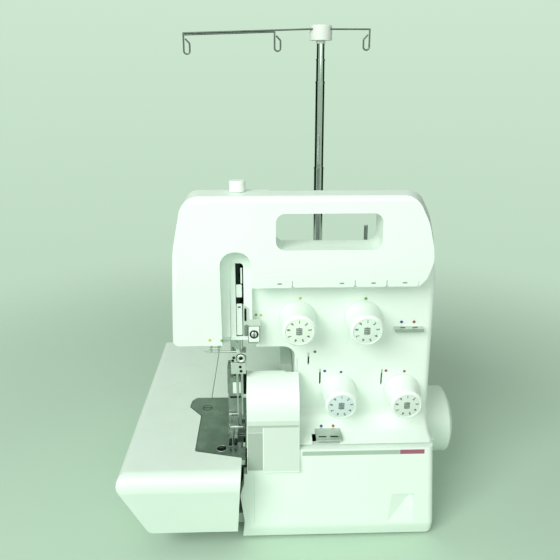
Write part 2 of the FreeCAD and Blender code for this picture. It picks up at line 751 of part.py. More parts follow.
# ---- frame ----
def main_frame():
    mid_y = shaft_y
    pieces = [
        box(-34, 140, 46, 140, frame_floor_low, frame_floor_high),
        box(2, 128, 130, 196, frame_floor_low, frame_floor_high),
        box(-32, -10.2, 8.5, bed_block_back, 70, bed_top - needle_plate_thick),
        box(-24, -10.2, 6, 10, 70, bed_top - needle_plate_thick),
        box(-30, -18, 50, bed_block_back, frame_floor_high - 1, 71),
        box(wall_b_left, wall_b_left + frame_wall, 52, 190, frame_floor_high - 1, bed_top - wall),
        box(8, 46, 52, 60, frame_floor_high - 1, 72),
        box(1, 11.5, 38, 52, 21, 46),
        box(1, 11.5, 51, 60, frame_floor_high - 1, 46),
        box(-14, 10, 100, 112, frame_floor_high - 1, bed_top - wall),
        box(52, 60, web_front, 136, frame_floor_high - 1, 180),
        box(52, 128, 128, 136, frame_floor_high - 1, 180),
        box(wall_c_left, wall_c_left + frame_wall, web_front, 136, frame_floor_high - 1, 180),
        box(wall_c_left, wall_c_left + frame_wall, web_front, 98, 179, 205),
        box(frame_left, 128, web_front, web_back, 180, 206),
        box(web_left, 20, web_front, web_back, lower_bracket_low, upper_bracket_low + bracket_thick),
        box(frame_left, frame_left + frame_wall, web_back - 1, 95, 184, 208),
        box(-33, -24.4, web_back - 1, 83, 175, 189),
        box(-9, 5.6, bracket_front, web_front + 1, lower_bracket_low, lower_bracket_low + bracket_thick),
        box(-9, 8, bracket_front, web_front + 1, upper_bracket_low, upper_bracket_low + bracket_thick),
    ]
    frame = fuse(pieces)
    bush = shaft_radius + bush_wall
    small = upper_radius + bush_wall
    cuts = [rod("x", (wall_b_left - 1, mid_y, shaft_z), bush + seat, frame_wall + 2),
            rod("x", (wall_c_left - 1, mid_y, shaft_z), bush + seat, frame_wall + 2),
            rod("x", (52 - 1, mid_y, shaft_z), shaft_radius + 6, frame_wall + 2),
            rod("x", (frame_left - 1, upper_y, upper_z), small + seat, 10),
            rod("x", (wall_c_left - 1, upper_y, upper_z), small + seat, frame_wall + 2),
            rod("x", (51, upper_y, upper_z), upper_radius + 4, 10),
            box(4.6, 15, web_front - 1, web_back + 1, 172, 222),
            box(-8.3, 2.3, 99, 113, 63.7, 70.3),
            rod("y", (17, 51, 34), 4 + running, 10),
            rod("y", (38, 51, 50), 4 + running, 10),
            rod("z", (knife_rod_x, knife_rod_y, 20), knife_rod_radius + running, 40),
            rod("x", (-35, 76, 182), 3 + running, 12),
            rod("z", (presser_x, presser_y, 160), presser_radius + 0.04, 100)]
    bush_bore = needle_bar_radius + bar_bush_wall + seat
    for z in (lower_bracket_low, upper_bracket_low):
        cuts.append(rod("z", (0, needle_y, z - 1), bush_bore, bracket_thick + 2))
    for x, y in plate_screw_places:
        cuts.append(rod("z", (x, y, 60), 2.0 + seat, 30))
    for cut in cuts:
        frame = frame.cut(cut)
    return frame


def shaft_bushes():
    bushes = []
    for left in (wall_b_left, wall_c_left):
        bushes.append(ring("x", (left, shaft_y, shaft_z), shaft_radius + bush_wall,
                           shaft_radius + running, frame_wall))
    for left in (frame_left, wall_c_left):
        bushes.append(ring("x", (left, upper_y, upper_z), upper_radius + bush_wall,
                           upper_radius + running, frame_wall))
    return bushes


def needle_bar_bushes():
    outer = needle_bar_radius + bar_bush_wall
    bore = needle_bar_radius + running
    return [ring("z", (0, needle_y, z), outer, bore, bracket_thick)
            for z in (lower_bracket_low, upper_bracket_low)]


# ---- drive ----
def main_shaft():
    shaft = rod("x", (18, shaft_y, shaft_z), shaft_radius, wheel_right - 14 - 18)
    pieces = [shaft]
    for left, lift in ((34.0, 3.0), (62.0, -3.0), (100.0, 3.0)):
        pieces.append(rod("x", (left, shaft_y, shaft_z + lift), 11.0, 7.0))
    pieces.append(rod("x", (wall_b_left - 3.3, shaft_y, shaft_z), 9, 3))
    return fuse(pieces)


def handwheel():
    bore = shaft_radius + seat
    rim = [(wheel_left, bore), (wheel_left, wheel_radius - 1.5, 1.0), (wheel_left + 2, wheel_radius),
           (wheel_right - wheel_chamfer_x, wheel_radius, 2.0),
           (wheel_right, wheel_radius - wheel_chamfer_r, 2.0),
           (wheel_right, 14.0, 1.0), (wheel_right - 3, 12.0, 1.0), (wheel_right - 3, bore)]
    face = figure([(x, shaft_z + r) + tuple(rest) for x, r, *rest in rim], "y", shaft_y)
    wheel = face.revolve(V(0, shaft_y, shaft_z), V(1, 0, 0), 360)
    groove = ring("x", (wheel_left - 1, shaft_y, shaft_z), wheel_radius - 4, shaft_radius + 5,
                  wheel_right - wheel_left - 9)
    return wheel.cut(groove)


def shaft_pulley():
    body = ring("x", (pulley_left, shaft_y, shaft_z), shaft_pulley_radius, shaft_radius + seat, pulley_width)
    for side in (0, pulley_width - 1.2):
        flange = ring("x", (pulley_left + side, shaft_y, shaft_z), shaft_pulley_radius + 1.6,
                      shaft_radius + seat, 1.2)
        body = body.fuse(flange)
    return body.removeSplitter()


def motor_pulley():
    body = rod("x", (pulley_left, motor_y, motor_z), motor_pulley_radius, pulley_width)
    for side in (0, pulley_width - 1.2):
        body = body.fuse(rod("x", (pulley_left + side, motor_y, motor_z), motor_pulley_radius + 1.6, 1.2))
    spindle = rod("x", (108, motor_y, motor_z), 3.0, pulley_left - 108 + 1)
    return body.fuse(spindle).removeSplitter()


def belt_outline(gap):
    """Two circles joined by their outer tangents."""
    big = shaft_pulley_radius + gap
    small = motor_pulley_radius + gap
    run = motor_y - shaft_y
    lean = math.asin((big - small) / run)
    c, s = math.cos(lean), math.sin(lean)
    top_a = V(0, shaft_y + big * s, shaft_z + big * c)
    top_b = V(0, motor_y + small * s, motor_z + small * c)
    low_a = V(0, shaft_y + big * s, shaft_z - big * c)
    low_b = V(0, motor_y + small * s, motor_z - small * c)
    edges = [Part.LineSegment(top_a, top_b).toShape(),
             Part.Arc(top_b, V(0, motor_y + small, motor_z), low_b).toShape(),
             Part.LineSegment(low_b, low_a).toShape(),
             Part.Arc(low_a, V(0, shaft_y - big, shaft_z), top_a).toShape()]
    return Part.Face(Part.Wire(edges))


def drive_belt():
    left = pulley_left + 1.8
    width = pulley_width - 3.6
    outer = belt_outline(belt_gap + belt_thick).extrude(V(width, 0, 0))
    inner = belt_outline(belt_gap).extrude(V(width, 0, 0))
    belt = outer.cut(inner)
    belt.translate(V(left, 0, 0))
    return belt


def motor():
    body = rod("x", (66, motor_y, motor_z), motor_radius, 50)
    nose = rod("x", (116, motor_y, motor_z), 10, 4)
    cap = rod("x", (62, motor_y, motor_z), motor_radius - 6, 4)
    return fuse([body, nose, cap]).cut(rod("x", (107, motor_y, motor_z), 3.0 + running, 20))


def motor_bracket():
    foot = box(70, 112, 142, 188, frame_floor_high, frame_floor_high + 3)
    pieces = [foot]
    for x in (72, 104):
        pieces.append(box(x, x + 6, 147, 183, frame_floor_high, motor_z - 8))
    return fuse(pieces).cut(rod("x", (60, motor_y, motor_z), motor_radius + seat, 60))


def upper_shaft():
    shaft = rod("x", (frame_left, upper_y, upper_z), upper_radius, wall_c_left + frame_wall - frame_left)
    hub = rod("x", (9.2, upper_y, upper_z), 8, 4)
    arm = box(9.2, 13.2, 40, upper_y, upper_z - 4, upper_z + 4)
    link_arm = box(70, 76, upper_y - 4, upper_y + 14, upper_z - 5, upper_z + 2)
    return fuse([shaft, hub, arm, link_arm, rod("x", (70, upper_y, upper_z), 8, 6)])


def take_up_lever():
    hub = rod("x", (6.3, upper_y, upper_z), 8, 2.0)
    blade = prism([(upper_y, upper_z - 5), (upper_y, upper_z + 5),
                   (34.0, upper_z + 3.5), (24.6, upper_z + 5.5),
                   (24.6, upper_z - 6), (27.4, upper_z - 6), (29.0, upper_z - 3.5)], "x", 6.3, 8.3)
    return fuse([hub, blade]).cut(rod("x", (0, upper_y, upper_z), upper_radius + seat, 20))


# ---- needle and presser ----
def needle_bar():
    return rod("z", (0, needle_y, needle_bar_low), needle_bar_radius, needle_bar_high - needle_bar_low)


def needle_clamp():
    low = box(-7.0, 4.4, 16.5, 26.5, clamp_low, 147.4)
    high = box(-9.5, 4.4, 15.6, 26.5, 147.4, clamp_high)
    guide = box(-4.4, 1.6, 16.2, 20, clamp_high, clamp_high + 4)
    block = fuse([low, high, guide])
    block = block.cut(rod("z", (0, needle_y, 130), needle_bar_radius + seat, 40))
    for x in (-1.0, 2.4):
        block = block.cut(rod("z", (x, 18.6, 130), needle_radius + 0.4, needle_bar_low - 130))
    return block


def needles():
    pins = []
    for x in (-1.0, 2.4):
        shank = rod("z", (x, 18.6, 121), needle_radius + 0.38, needle_bar_low - 0.2 - 121)
        blade = Part.makeCone(0.15, needle_radius, 4, V(x, 18.6, needle_tip))
        middle = rod("z", (x, 18.6, needle_tip + 4), needle_radius, 121 - needle_tip - 4)
        pins.append(fuse([shank, middle, blade]))
    return pins


def clamp_screws():
    screws = [fuse([rod("y", (1.0, 12.4, 152.6), 3.6, 3.2), rod("y", (1.0, 15, 152.6), 1.5, 0.6)])]
    screws.append(rod("x", (-12.7, 21.0, 151.5), 2.6, 3.2))
    for x, z in ((-1.2, 143.6), (-0.6, 140.0)):
        screws.append(rod("y", (x, 15.3, z), 1.3, 1.2))
    return screws


def presser_bar():
    bar = rod("z", (presser_x, presser_y, presser_low), presser_radius, presser_high - presser_low)
    collar = rod("z", (presser_x, presser_y, 196), 6.5, 4)
    return fuse([bar, collar])


def presser_spring():
    return ring("z", (presser_x, presser_y, 200.3), 6.0, presser_radius + 0.4, upper_bracket_low - 200.6)


def pressure_knob():
    cap = rod("z", (knob_x, knob_y, head_top + 0.3), knob_radius, knob_rise)
    cap = cap.makeFillet(1.2, [cap.Edges[0]])
    stem = rod("z", (knob_x, knob_y, head_top - 9), 3.0, 10)
    flange = rod("z", (knob_x, knob_y, head_top - 9), 4.5, 1.8)
    return fuse([cap, stem, flange])


def knob_boss():
    """Sleeve of the rear cover that holds the pressure knob's stem."""
    return ring("z", (knob_x, knob_y, head_top - 6.9), 5.6, 3.0 + running, 4.9)


def foot_holder():
    block = box(-10, 2.8, 37, 52, presser_low, 134)
    arm = box(-9, 1.2, 28.6, 38, presser_low, 124)
    front = box(-7.5, 0.5, 27.4, 30, 115, 131)
    fork = box(-9, 1.2, foot_pin_y - 4, foot_pin_y + 5, foot_pin_z - 4, presser_low + 1)
    slot = box(-6.8, -1.0, foot_pin_y - 6, foot_pin_y + 8, foot_pin_z - 6, foot_pin_z + 6)
    holder = fuse([block, arm, front, fork]).cut(slot)
    holder = holder.cut(rod("z", (presser_x, presser_y, 100), presser_radius + seat, 60))
    return holder.cut(rod("x", (-20, foot_pin_y, foot_pin_z), foot_pin_radius + running, 40))


def presser_foot():
    sole = box(-10.0, 3.4, 28, 46, bed_top + 0.4, bed_top + 2.8)
    toes = [box(-8.6, -5.4, 11.5, 29, bed_top + 0.4, bed_top + 3.4),
            box(-4.6, -2.1, 11.5, 29, bed_top + 0.4, bed_top + 3.4)]
    ankle = box(-6.4, -1.4, foot_pin_y - 4, foot_pin_y + 4, bed_top + 2.8, foot_pin_z + 3.5)
    bars = [box(-9.0, 3.4, 28, 30.6, bed_top + 2.8, bed_top + 6.0),
            box(-9.6, 3.4, 38, 41, bed_top + 2.8, bed_top + 7.5)]
    pin = rod("x", (-8.7, foot_pin_y, foot_pin_z), foot_pin_radius, 9.6)
    foot = fuse([sole, ankle, pin] + toes + bars)
    return foot


def presser_lifter():
    hub = rod("x", (-23.8, 76, 182), 6, 7.6)
    pin = rod("x", (-33, 76, 182), 3, 10)
    lever = prism([(74.0, 178.0), (80.0, 186.0), (116.0, 156.0, 3.0), (124.0, 152.0, 2.0),
                   (122.0, 147.0, 2.0), (110.0, 149.0, 3.0)], "x", -22.5, -17.5)
    return fuse([hub, pin, lever])


# ---- loopers, knives and feed ----
def lower_looper():
    shaft = rod("y", (17, 30, 34), 4, 38)
    arm = box(14.5, 19.5, 30, 34, 34, 62)
    blade = prism([(19.5, 57.0), (19.5, 62.0), (-7.0, 60.5), (-7.0, 59.0)], "y", 30.5, 33.0)
    return fuse([shaft, arm, blade])


def upper_looper():
    shaft = rod("y", (38, 36, 50), 4, 26)
    arm = prism([(35.5, 50.0), (41.0, 50.0), (31.0, 88.0), (27.0, 88.0)], "y", 36, 40)
    blade = prism([(27.0, 88.0), (30.5, 84.0), (16.0, 93.0), (15.0, 94.5)], "y", 36.8, 39.2)
    return fuse([shaft, arm, blade])


def upper_knife():
    guide = rod("z", (knife_rod_x, knife_rod_y, 21.5), knife_rod_radius, 62)
    head = box(4.9, 9.9, 38, 47, 80, 88)
    blade = box(4.9, 6.6, 12, 39, 78.5, 87)
    return fuse([guide, head, blade])


def lower_knife():
    shank = box(-9.9, 4.2, 12, 17.8, 63.5, 68)
    blade = box(2.3, 4.2, 12, 17.8, 63.5, bed_top - 0.2)
    return fuse([shank, blade])


def feed_dog():
    bar = box(-8, 2, 36, 118, 64, 70)
    pieces = [bar, box(-8, 2, 33, 53, 69, 75)]
    for left in (-8.1, -3.1):
        pieces.append(box(left, left + 2.7, 33, 53, 74, bed_top - 1.0))
        for k in range(7):
            y = 34.0 + 2.6 * k
            tooth = prism([(y, bed_top - 1.1), (y + 2.2, bed_top - 1.1), (y + 2.0, bed_top - 0.2)],
                          "x", left, left + 2.7)
            pieces.append(tooth)
    return fuse(pieces)


# ---- dials and controls ----
def dial(x, z):
    base, out = stud_axis(x, z, dial_gap)
    knob = Part.makeCone(dial_base_radius, dial_rim_radius, dial_length - 1.5, base, out)
    rim = Part.makeCone(dial_rim_radius, dial_rim_radius - 1.5, 1.5, base.add(out * (dial_length - 1.5)), out)
    knob = knob.fuse(rim).removeSplitter()
    face = base.add(out * (dial_length - 0.8))
    knob = knob.cut(Part.makeCylinder(dial_rim_radius - 2.1, 3, face, out))
    knob = knob.cut(Part.makeCylinder(stud_radius + running, 12, base.sub(out), out))
    return knob


def tension_studs():
    studs = []
    for x, z in dial_centres:
        back, out = stud_axis(x, z, -stud_back - wall)
        stud = Part.makeCylinder(stud_radius, stud_back + wall + 10, back, out)
        for k in (0, 1):
            start = back.add(out * (stud_back - 6 + k * (disc_thick + 0.5)))
            stud = stud.fuse(Part.makeCylinder(disc_radius, disc_thick, start, out))
        studs.append(stud.removeSplitter())
    return studs


def stitch_length_dial():
    start = side_x(92) + 1.2
    cap = rod("x", (start, 124, 92), 11, 9)
    cap = cap.makeFillet(1.5, [cap.Edges[0]])
    return fuse([cap, rod("x", (start - 12, 124, 92), 3, 12)])


def differential_lever():
    start = side_x(110) + 1.0
    hub = rod("x", (start, 170, 110), 7, 4)
    arm = box(start, start + 3, 166.5, 173.5, 110, 136)
    grip = box(start, start + 7, 166.5, 173.5, 130, 138)
    return fuse([hub, arm, grip, rod("x", (start - 10, 170, 110), 3, 10)])


def inlet_socket():
    outer = box(136, 152.6, 176.3, 201.7, 28.3, 81.7)
    outer = outer.cut(box(139, 160, 180, 198, 31.5, 50))
    outer = outer.cut(box(139, 160, 179.5, 198.5, 54.5, 79.0))
    pins = [rod("x", (138.5, y, 40.5), 1.2, 9) for y in (184.5, 193.5)]
    posts = [rod("y", (150, 179.0, 66.75), 1.4, 2.6), rod("y", (150, 196.4, 66.75), 1.4, 2.6)]
    return fuse([outer] + pins + posts)


def power_switch():
    rocker = box(145.5, 154.6, 180.5, 197.5, 56.0, 77.5)
    sockets = [rod("y", (150, 180.0, 66.75), 1.4 + running, 1.8),
               rod("y", (150, 196.2, 66.75), 1.4 + running, 1.8)]
    for hole in sockets:
        rocker = rocker.cut(hole)
    return rocker


def panel_thread_guides():
    upper = box(118.4, 140.2, 16.6, panel_y(174.4) + 1, 173.8, 175.0)
    upper_lip = box(118.4, 140.2, 16.6, 17.8, 172.4, 175.0)
    lower = box(59.2, 79.5, 9.0, panel_y(90) + 1, 86.6, 87.6)
    lower_lip = box(59.2, 79.5, 9.0, 10.2, 85.0, 87.6)
    square = box(7.6, 15.4, panel_y(170) - 2.4, panel_y(170) + 1, 163.2, 177.6)
    slits = [box(122.5, 126.5, 18.8, 20.8, 170, 180), box(132, 136, 18.8, 20.8, 170, 180),
             box(61.5, 67.5, 10.8, 12.4, 84, 96), box(70.5, 76.5, 10.8, 12.4, 84, 96)]
    upper = fuse([upper, upper_lip]).cut(slits[0]).cut(slits[1])
    lower = fuse([lower, lower_lip]).cut(slits[2]).cut(slits[3])
    screw = rod("y", (11.2, panel_y(170) - 4.6, 169.8), 3.2, 2.2)
    body = front_body(0)
    return [upper.cut(body), lower.cut(body), fuse([square, screw]).cut(body)]


def head_thread_guides():
    wires = []
    for z, left, right in ((164.6, -21.5, -12.0), (161.8, -24.5, 1.0)):
        wires.append(rod("x", (left, 10, z), 0.7, right - left))
    post = rod("z", (-14.0, 10, 161.5), 0.9, head_bottom - 161.5)
    second = rod("z", (-19.5, 10, 161.5), 0.9, head_bottom - 161.5)
    return fuse(wires + [post, second])


def lamp_module():
    return fuse([box(-38, -17, 18, 34, head_bottom + wall, head_bottom + wall + 2),
                 rod("z", (-32.5, 26, head_bottom + wall + 1.5), 4.0, 3),
                 rod("z", (-22.5, 26, head_bottom + wall + 1.5), 4.0, 3)])


# ---- spool stand and thread tree ----
def spool_stand():
    low = ledge_z + 0.0
    plate = prism([(stand_left, ledge_front + 1, 6.0), (stand_right, ledge_front + 1, 6.0),
                   (stand_right, stand_back, 18.0), (stand_left, stand_back, 18.0)],
                  "z", low, low + stand_thick + stand_rim)
    pocket = prism([(stand_left + 3, ledge_front + 4, 4.0), (stand_right - 3, ledge_front + 4, 4.0),
                    (stand_right - 3, stand_back - 3, 15.0), (stand_left + 3, stand_back - 3, 15.0)],
                   "z", low + stand_thick, low + 40)
    plate = plate.cut(pocket)
    socket = ring("z", (pole_x, pole_y, low + stand_thick - 1), 9.5, pole_radii[0] + seat, 12)
    plate = fuse([plate, socket])
    plate = plate.cut(rod("z", (pole_x, pole_y, pole_lows[0] - 2), pole_radii[0] + seat, 30))
    for x, y in pin_places:
        plate = plate.cut(rod("z", (x, y, low - 1), pin_radius + seat, 12))
    for x in (60.0, 130.0):
        plate = plate.cut(rod("z", (x, 180, low - 1), 2.05, 12))
    return plate


def spool_pins():
    pins = []
    base = ledge_z + stand_thick
    for x, y in pin_places:
        pin = rod("z", (x, y, base - 4), pin_radius, pin_top - base + 4)
        pin = pin.makeFillet(0.8, [pin.Edges[0]])
        pins.append(fuse([pin, rod("z", (x, y, base), 7, 2)]))
    return pins


def case_screws():
    screws = []
    for x in (60.0, 130.0):
        top = ledge_z + stand_thick
        screws.append(fuse([rod("z", (x, 180, ledge_z - wall - 2), 2.0, wall + 2 + stand_thick),
                            rod("z", (x, 180, top), 3.6, 2)]))
        screws.append(fuse([rod("y", (x, body_back - wall - 2, 60), 2.0, wall + 2),
                            rod("y", (x, body_back, 60), 3.6, 2)]))
    return screws


def pole_tube(index):
    radius = pole_radii[index]
    low, high = pole_lows[index], pole_highs[index]
    tube = ring("z", (pole_x, pole_y, low), radius, radius - tube_wall, high - low)
    if index == 3:
        return tube
    crimp = ring("z", (pole_x, pole_y, high - crimp_height), radius + crimp_step,
                 radius - tube_wall, crimp_height)
    return tube.fuse(crimp).removeSplitter()


def guide_bar_holder():
    body = rod("z", (pole_x, pole_y, holder_low), holder_radius, holder_high - holder_low)
    body = body.makeFillet(2.0, [body.Edges[0]])
    neck = rod("z", (pole_x, pole_y, holder_low - 3), 4.6, 4)
    holder = fuse([body, neck])
    holder = holder.cut(rod("z", (pole_x, pole_y, 380), pole_radii[3] + running, pole_highs[3] + 0.3 - 380))
    return holder.cut(rod("x", (pole_x - 30, pole_y - 6.5, wire_level), wire_radius + seat, 60))


def wire(start, end):
    a, b = V(*start), V(*end)
    run = b.sub(a)
    return Part.makeCylinder(wire_radius, run.Length, a, run).fuse(Part.makeSphere(wire_radius, b))


def hook(x, top, side):
    """A wire hook below the bar, open towards side."""
    y = pole_y - 6.5
    low = top - hook_depth + hook_radius
    stem = wire((x - side * hook_radius, y, top), (x - side * hook_radius, y, low))
    turn = Part.makeTorus(hook_radius, wire_radius, V(x, y, low), V(0, 1, 0))
    turn = turn.common(box(x - 10, x + 10, y - 5, y + 5, low - 10, low))
    rise = wire((x + side * hook_radius, y, low), (x + side * hook_radius, y, low + 7))
    back = wire((x + side * hook_radius, y, low + 7), (x - side * (hook_radius - 2.0), y, low + 11))
    return fuse([stem, turn, rise, back])


def bar_level(x):
    """The left arm of the bar droops a little from the holder outwards."""
    return wire_level - wire_droop * (bend_x - x)


def thread_guide_bar():
    y = pole_y - 6.5
    left = hook_centres[0] - hook_radius
    middle = hook_centres[1] - hook_radius
    right = hook_right + hook_radius
    pieces = [wire((bend_x, y, wire_level), (right, y, wire_level)),
              wire((bend_x, y, wire_level), (left, y, bar_level(left))),
              Part.makeSphere(wire_radius, V(bend_x, y, wire_level))]
    for x in hook_centres:
        pieces.append(hook(x, bar_level(x - hook_radius), 1))
    pieces.append(hook(hook_right, wire_level, -1))
    second = 2 * wire_radius - 0.1
    pieces.append(wire((left, y, bar_level(left) - second), (middle, y, bar_level(middle) - second)))
    return fuse(pieces)


nodes = {
    "base_tray": base_tray, "rubber_feet": rubber_feet, "front_cover": front_cover,
    "side_cover": side_cover, "bed_cover": bed_cover, "cloth_plate": cloth_plate,
    "cloth_plate_pin": cloth_plate_pin, "looper_cover": looper_cover,
    "cover_hinge_rod": cover_hinge_rod, "needle_plate": needle_plate, "plate_screws": plate_screws,
    "main_frame": main_frame, "shaft_bushes": shaft_bushes, "needle_bar_bushes": needle_bar_bushes,
    "main_shaft": main_shaft, "handwheel": handwheel, "shaft_pulley": shaft_pulley,
    "drive_belt": drive_belt, "motor": motor, "motor_pulley": motor_pulley,
    "motor_bracket": motor_bracket, "upper_shaft": upper_shaft, "take_up_lever": take_up_lever,
    "needle_bar": needle_bar, "needle_clamp": needle_clamp, "needles": needles,
    "clamp_screws": clamp_screws, "presser_bar": presser_bar, "presser_spring": presser_spring,
    "pressure_knob": pressure_knob, "foot_holder": foot_holder, "presser_foot": presser_foot,
    "presser_lifter": presser_lifter, "lower_looper": lower_looper, "upper_looper": upper_looper,
    "upper_knife": upper_knife, "lower_knife": lower_knife, "feed_dog": feed_dog,
    "tension_studs": tension_studs, "stitch_length_dial": stitch_length_dial,
    "differential_lever": differential_lever, "inlet_socket": inlet_socket,
    "power_switch": power_switch, "panel_thread_guides": panel_thread_guides,
    "head_thread_guides": head_thread_guides, "lamp_module": lamp_module,
    "spool_stand": spool_stand, "spool_pins": spool_pins, "case_screws": case_screws,
    "guide_bar_holder": guide_bar_holder, "thread_guide_bar": thread_guide_bar,
}
for node_name, make in nodes.items():
    save(node_name, make())
save("rear_cover", fuse([rear_cover(), knob_boss()]))
for node_name, (dial_x, dial_z) in zip(dial_names, dial_centres):
    save(node_name, dial(dial_x, dial_z))
for index, part_name in enumerate(("lower", "middle", "upper", "top")):
    save("pole_" + part_name + "_tube", pole_tube(index))
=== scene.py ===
# %% [markdown]
# # A serger overlock machine
# This lesson dresses a finished CAD model of a small overlock sewing machine. The solids already have
# their sizes and joints, so nothing is moved here: each step gives a solid its finish, or lays a thin
# piece, such as a coloured threading dot, on a solid that is already there.
# %% Load the machine
import bmesh
import bpy
import math
from mathutils import Matrix, Vector


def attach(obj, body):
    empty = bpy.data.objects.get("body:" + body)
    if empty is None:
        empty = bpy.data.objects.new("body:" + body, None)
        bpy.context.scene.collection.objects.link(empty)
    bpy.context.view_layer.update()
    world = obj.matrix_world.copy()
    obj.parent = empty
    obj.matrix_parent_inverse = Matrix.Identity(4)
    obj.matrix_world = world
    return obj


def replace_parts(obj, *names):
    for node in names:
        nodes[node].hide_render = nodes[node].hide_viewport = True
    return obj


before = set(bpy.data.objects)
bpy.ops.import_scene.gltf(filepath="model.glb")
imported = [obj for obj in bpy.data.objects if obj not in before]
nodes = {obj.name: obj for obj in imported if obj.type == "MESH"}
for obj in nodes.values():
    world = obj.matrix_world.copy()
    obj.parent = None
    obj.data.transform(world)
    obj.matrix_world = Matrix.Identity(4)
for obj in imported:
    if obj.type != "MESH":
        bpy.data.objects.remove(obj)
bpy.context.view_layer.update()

# %% [markdown]
# ## One ruler for the whole machine
# The machine was drawn in millimetres from the needle: X is sideways from the needle bar, Y runs back
# from the looper cover and Z is the height over the table. One helper turns such a place into metres in
# the shared frame, so every detail below can be given the way a maker would measure it.
# %% Measure from the needle
MM = 0.001
NEEDLE_TO_MIDDLE = Vector((47.5, 110.0, 0.0))


def at(x, y, z):
    """A place in millimetres from the needle, as metres in the shared frame."""
    return (Vector((x, y, z)) - NEEDLE_TO_MIDDLE) * MM


def hue(red, green, blue):
    """A paint colour given as 0 to 255 per channel, as the shader wants it."""
    channels = []
    for value in (red, green, blue):
        c = value / 255
        channels.append(c / 12.92 if c <= 0.04045 else ((c + 0.055) / 1.055) ** 2.4)
    return (*channels, 1.0)


print("needle tip is near", tuple(round(v, 3) for v in at(0, 22, 101)))

# %% [markdown]
# ## Shared surface effects
# Moulded plastic is never quite even: the mould leaves a fine spark-eroded grain, and the colour and
# gloss drift a little from place to place. Both could be painted, but noise in the object's own space
# needs no unwrapping and has a true scale, so each effect is a node group with its size in metres.
# %% Helpers for node groups
def group_with(name, inputs, outputs):
    """An empty shader group with its sockets, and its two end nodes."""
    group = bpy.data.node_groups.new(name, "ShaderNodeTree")
    for label, kind, value in inputs:
        socket = group.interface.new_socket(name=label, in_out="INPUT", socket_type=kind)
        socket.default_value = value
    for label, kind in outputs:
        group.interface.new_socket(name=label, in_out="OUTPUT", socket_type=kind)
    start = group.nodes.new("NodeGroupInput")
    end = group.nodes.new("NodeGroupOutput")
    return group, start, end


def add(tree, kind, **values):
    """A node with some of its settings or unlinked sockets filled in."""
    node = tree.nodes.new(kind)
    for key, value in values.items():
        if hasattr(node, key):
            setattr(node, key, value)
        else:
            node.inputs[key.replace("_", " ")].default_value = value
    return node


def noise_in(tree, vector, scale_socket, detail, rough):
    """Noise at a place, at a scale that another socket gives."""
    node = add(tree, "ShaderNodeTexNoise", Detail=detail, Roughness=rough)
    tree.links.new(vector, node.inputs["Vector"])
    tree.links.new(scale_socket, node.inputs["Scale"])
    return node.outputs["Fac"]


FLOAT = "NodeSocketFloat"
print("node group helpers ready")

# %% Build the moulded grain
def build_moulded_grain():
    """The fine grain of moulded plastic as a height, and its slow drift from place to place."""
    group, start, end = group_with(
        "moulded_grain",
        [("Grain Scale", FLOAT, 1400.0), ("Drift Scale", FLOAT, 14.0)],
        [("Height", FLOAT), ("Drift", FLOAT)])
    place = add(group, "ShaderNodeTexCoord").outputs["Object"]
    grain = noise_in(group, place, start.outputs["Grain Scale"], 3.0, 0.6)
    drift = noise_in(group, place, start.outputs["Drift Scale"], 2.0, 0.5)
    group.links.new(grain, end.inputs["Height"])
    group.links.new(drift, end.inputs["Drift"])
    return group


GRAIN = build_moulded_grain()
print("group", GRAIN.name)

# %% Build the settled dust
def build_settled_dust():
    """A mask for dust, which lies in patches and only on faces that look up."""
    group, start, end = group_with(
        "settled_dust", [("Amount", FLOAT, 0.3), ("Patch Scale", FLOAT, 60.0)], [("Mask", FLOAT)])
    place = add(group, "ShaderNodeTexCoord").outputs["Object"]
    patch = noise_in(group, place, start.outputs["Patch Scale"], 5.0, 0.65)
    normal = add(group, "ShaderNodeNewGeometry").outputs["Normal"]
    split = add(group, "ShaderNodeSeparateXYZ")
    group.links.new(normal, split.inputs[0])
    up = add(group, "ShaderNodeMapRange", From_Min=0.75, From_Max=1.0)
    group.links.new(split.outputs["Z"], up.inputs["Value"])
    ramp = add(group, "ShaderNodeMapRange", From_Min=0.45, From_Max=0.75)
    group.links.new(patch, ramp.inputs["Value"])
    both = add(group, "ShaderNodeMath", operation="MULTIPLY")
    group.links.new(up.outputs[0], both.inputs[0])
    group.links.new(ramp.outputs[0], both.inputs[1])
    thinned = add(group, "ShaderNodeMath", operation="MULTIPLY")
    group.links.new(both.outputs[0], thinned.inputs[0])
    group.links.new(start.outputs["Amount"], thinned.inputs[1])
    group.links.new(thinned.outputs[0], end.inputs["Mask"])
    return group


DUST = build_settled_dust()
print("group", DUST.name)

# %% Build the drawn lines
def build_drawn_lines():
    """Fine lines along the way that metal was drawn or ground, and broad duller streaks."""
    group, start, end = group_with(
        "drawn_lines",
        [("Stretch", "NodeSocketVector", (1.0, 1.0, 0.02)), ("Line Scale", FLOAT, 2600.0)],
        [("Height", FLOAT), ("Streak", FLOAT)])
    place = add(group, "ShaderNodeTexCoord").outputs["Object"]
    mapping = add(group, "ShaderNodeVectorMath", operation="MULTIPLY")
    group.links.new(place, mapping.inputs[0])
    group.links.new(start.outputs["Stretch"], mapping.inputs[1])
    fine = noise_in(group, mapping.outputs[0], start.outputs["Line Scale"], 2.0, 0.5)
    broad = add(group, "ShaderNodeTexNoise", Scale=90.0, Detail=3.0, Roughness=0.6)
    group.links.new(place, broad.inputs["Vector"])
    group.links.new(fine, end.inputs["Height"])
    group.links.new(broad.outputs["Fac"], end.inputs["Streak"])
    return group


LINES = build_drawn_lines()
print("group", LINES.name)

# %% [markdown]
# ## Finishes
# Two builders cover the machine: moulded plastic (grain, slow colour drift, a little dust on level
# faces) and metal (drawn or ground lines, patches that have been handled duller). Rubber, paint and the
# skin of cast iron are the first one with a coarser grain. A third makes printed marks. Each takes the
# finish's own colour and gloss and places the shared groups.
# %% Start a material
COAT_ROUGHNESS = 0.25


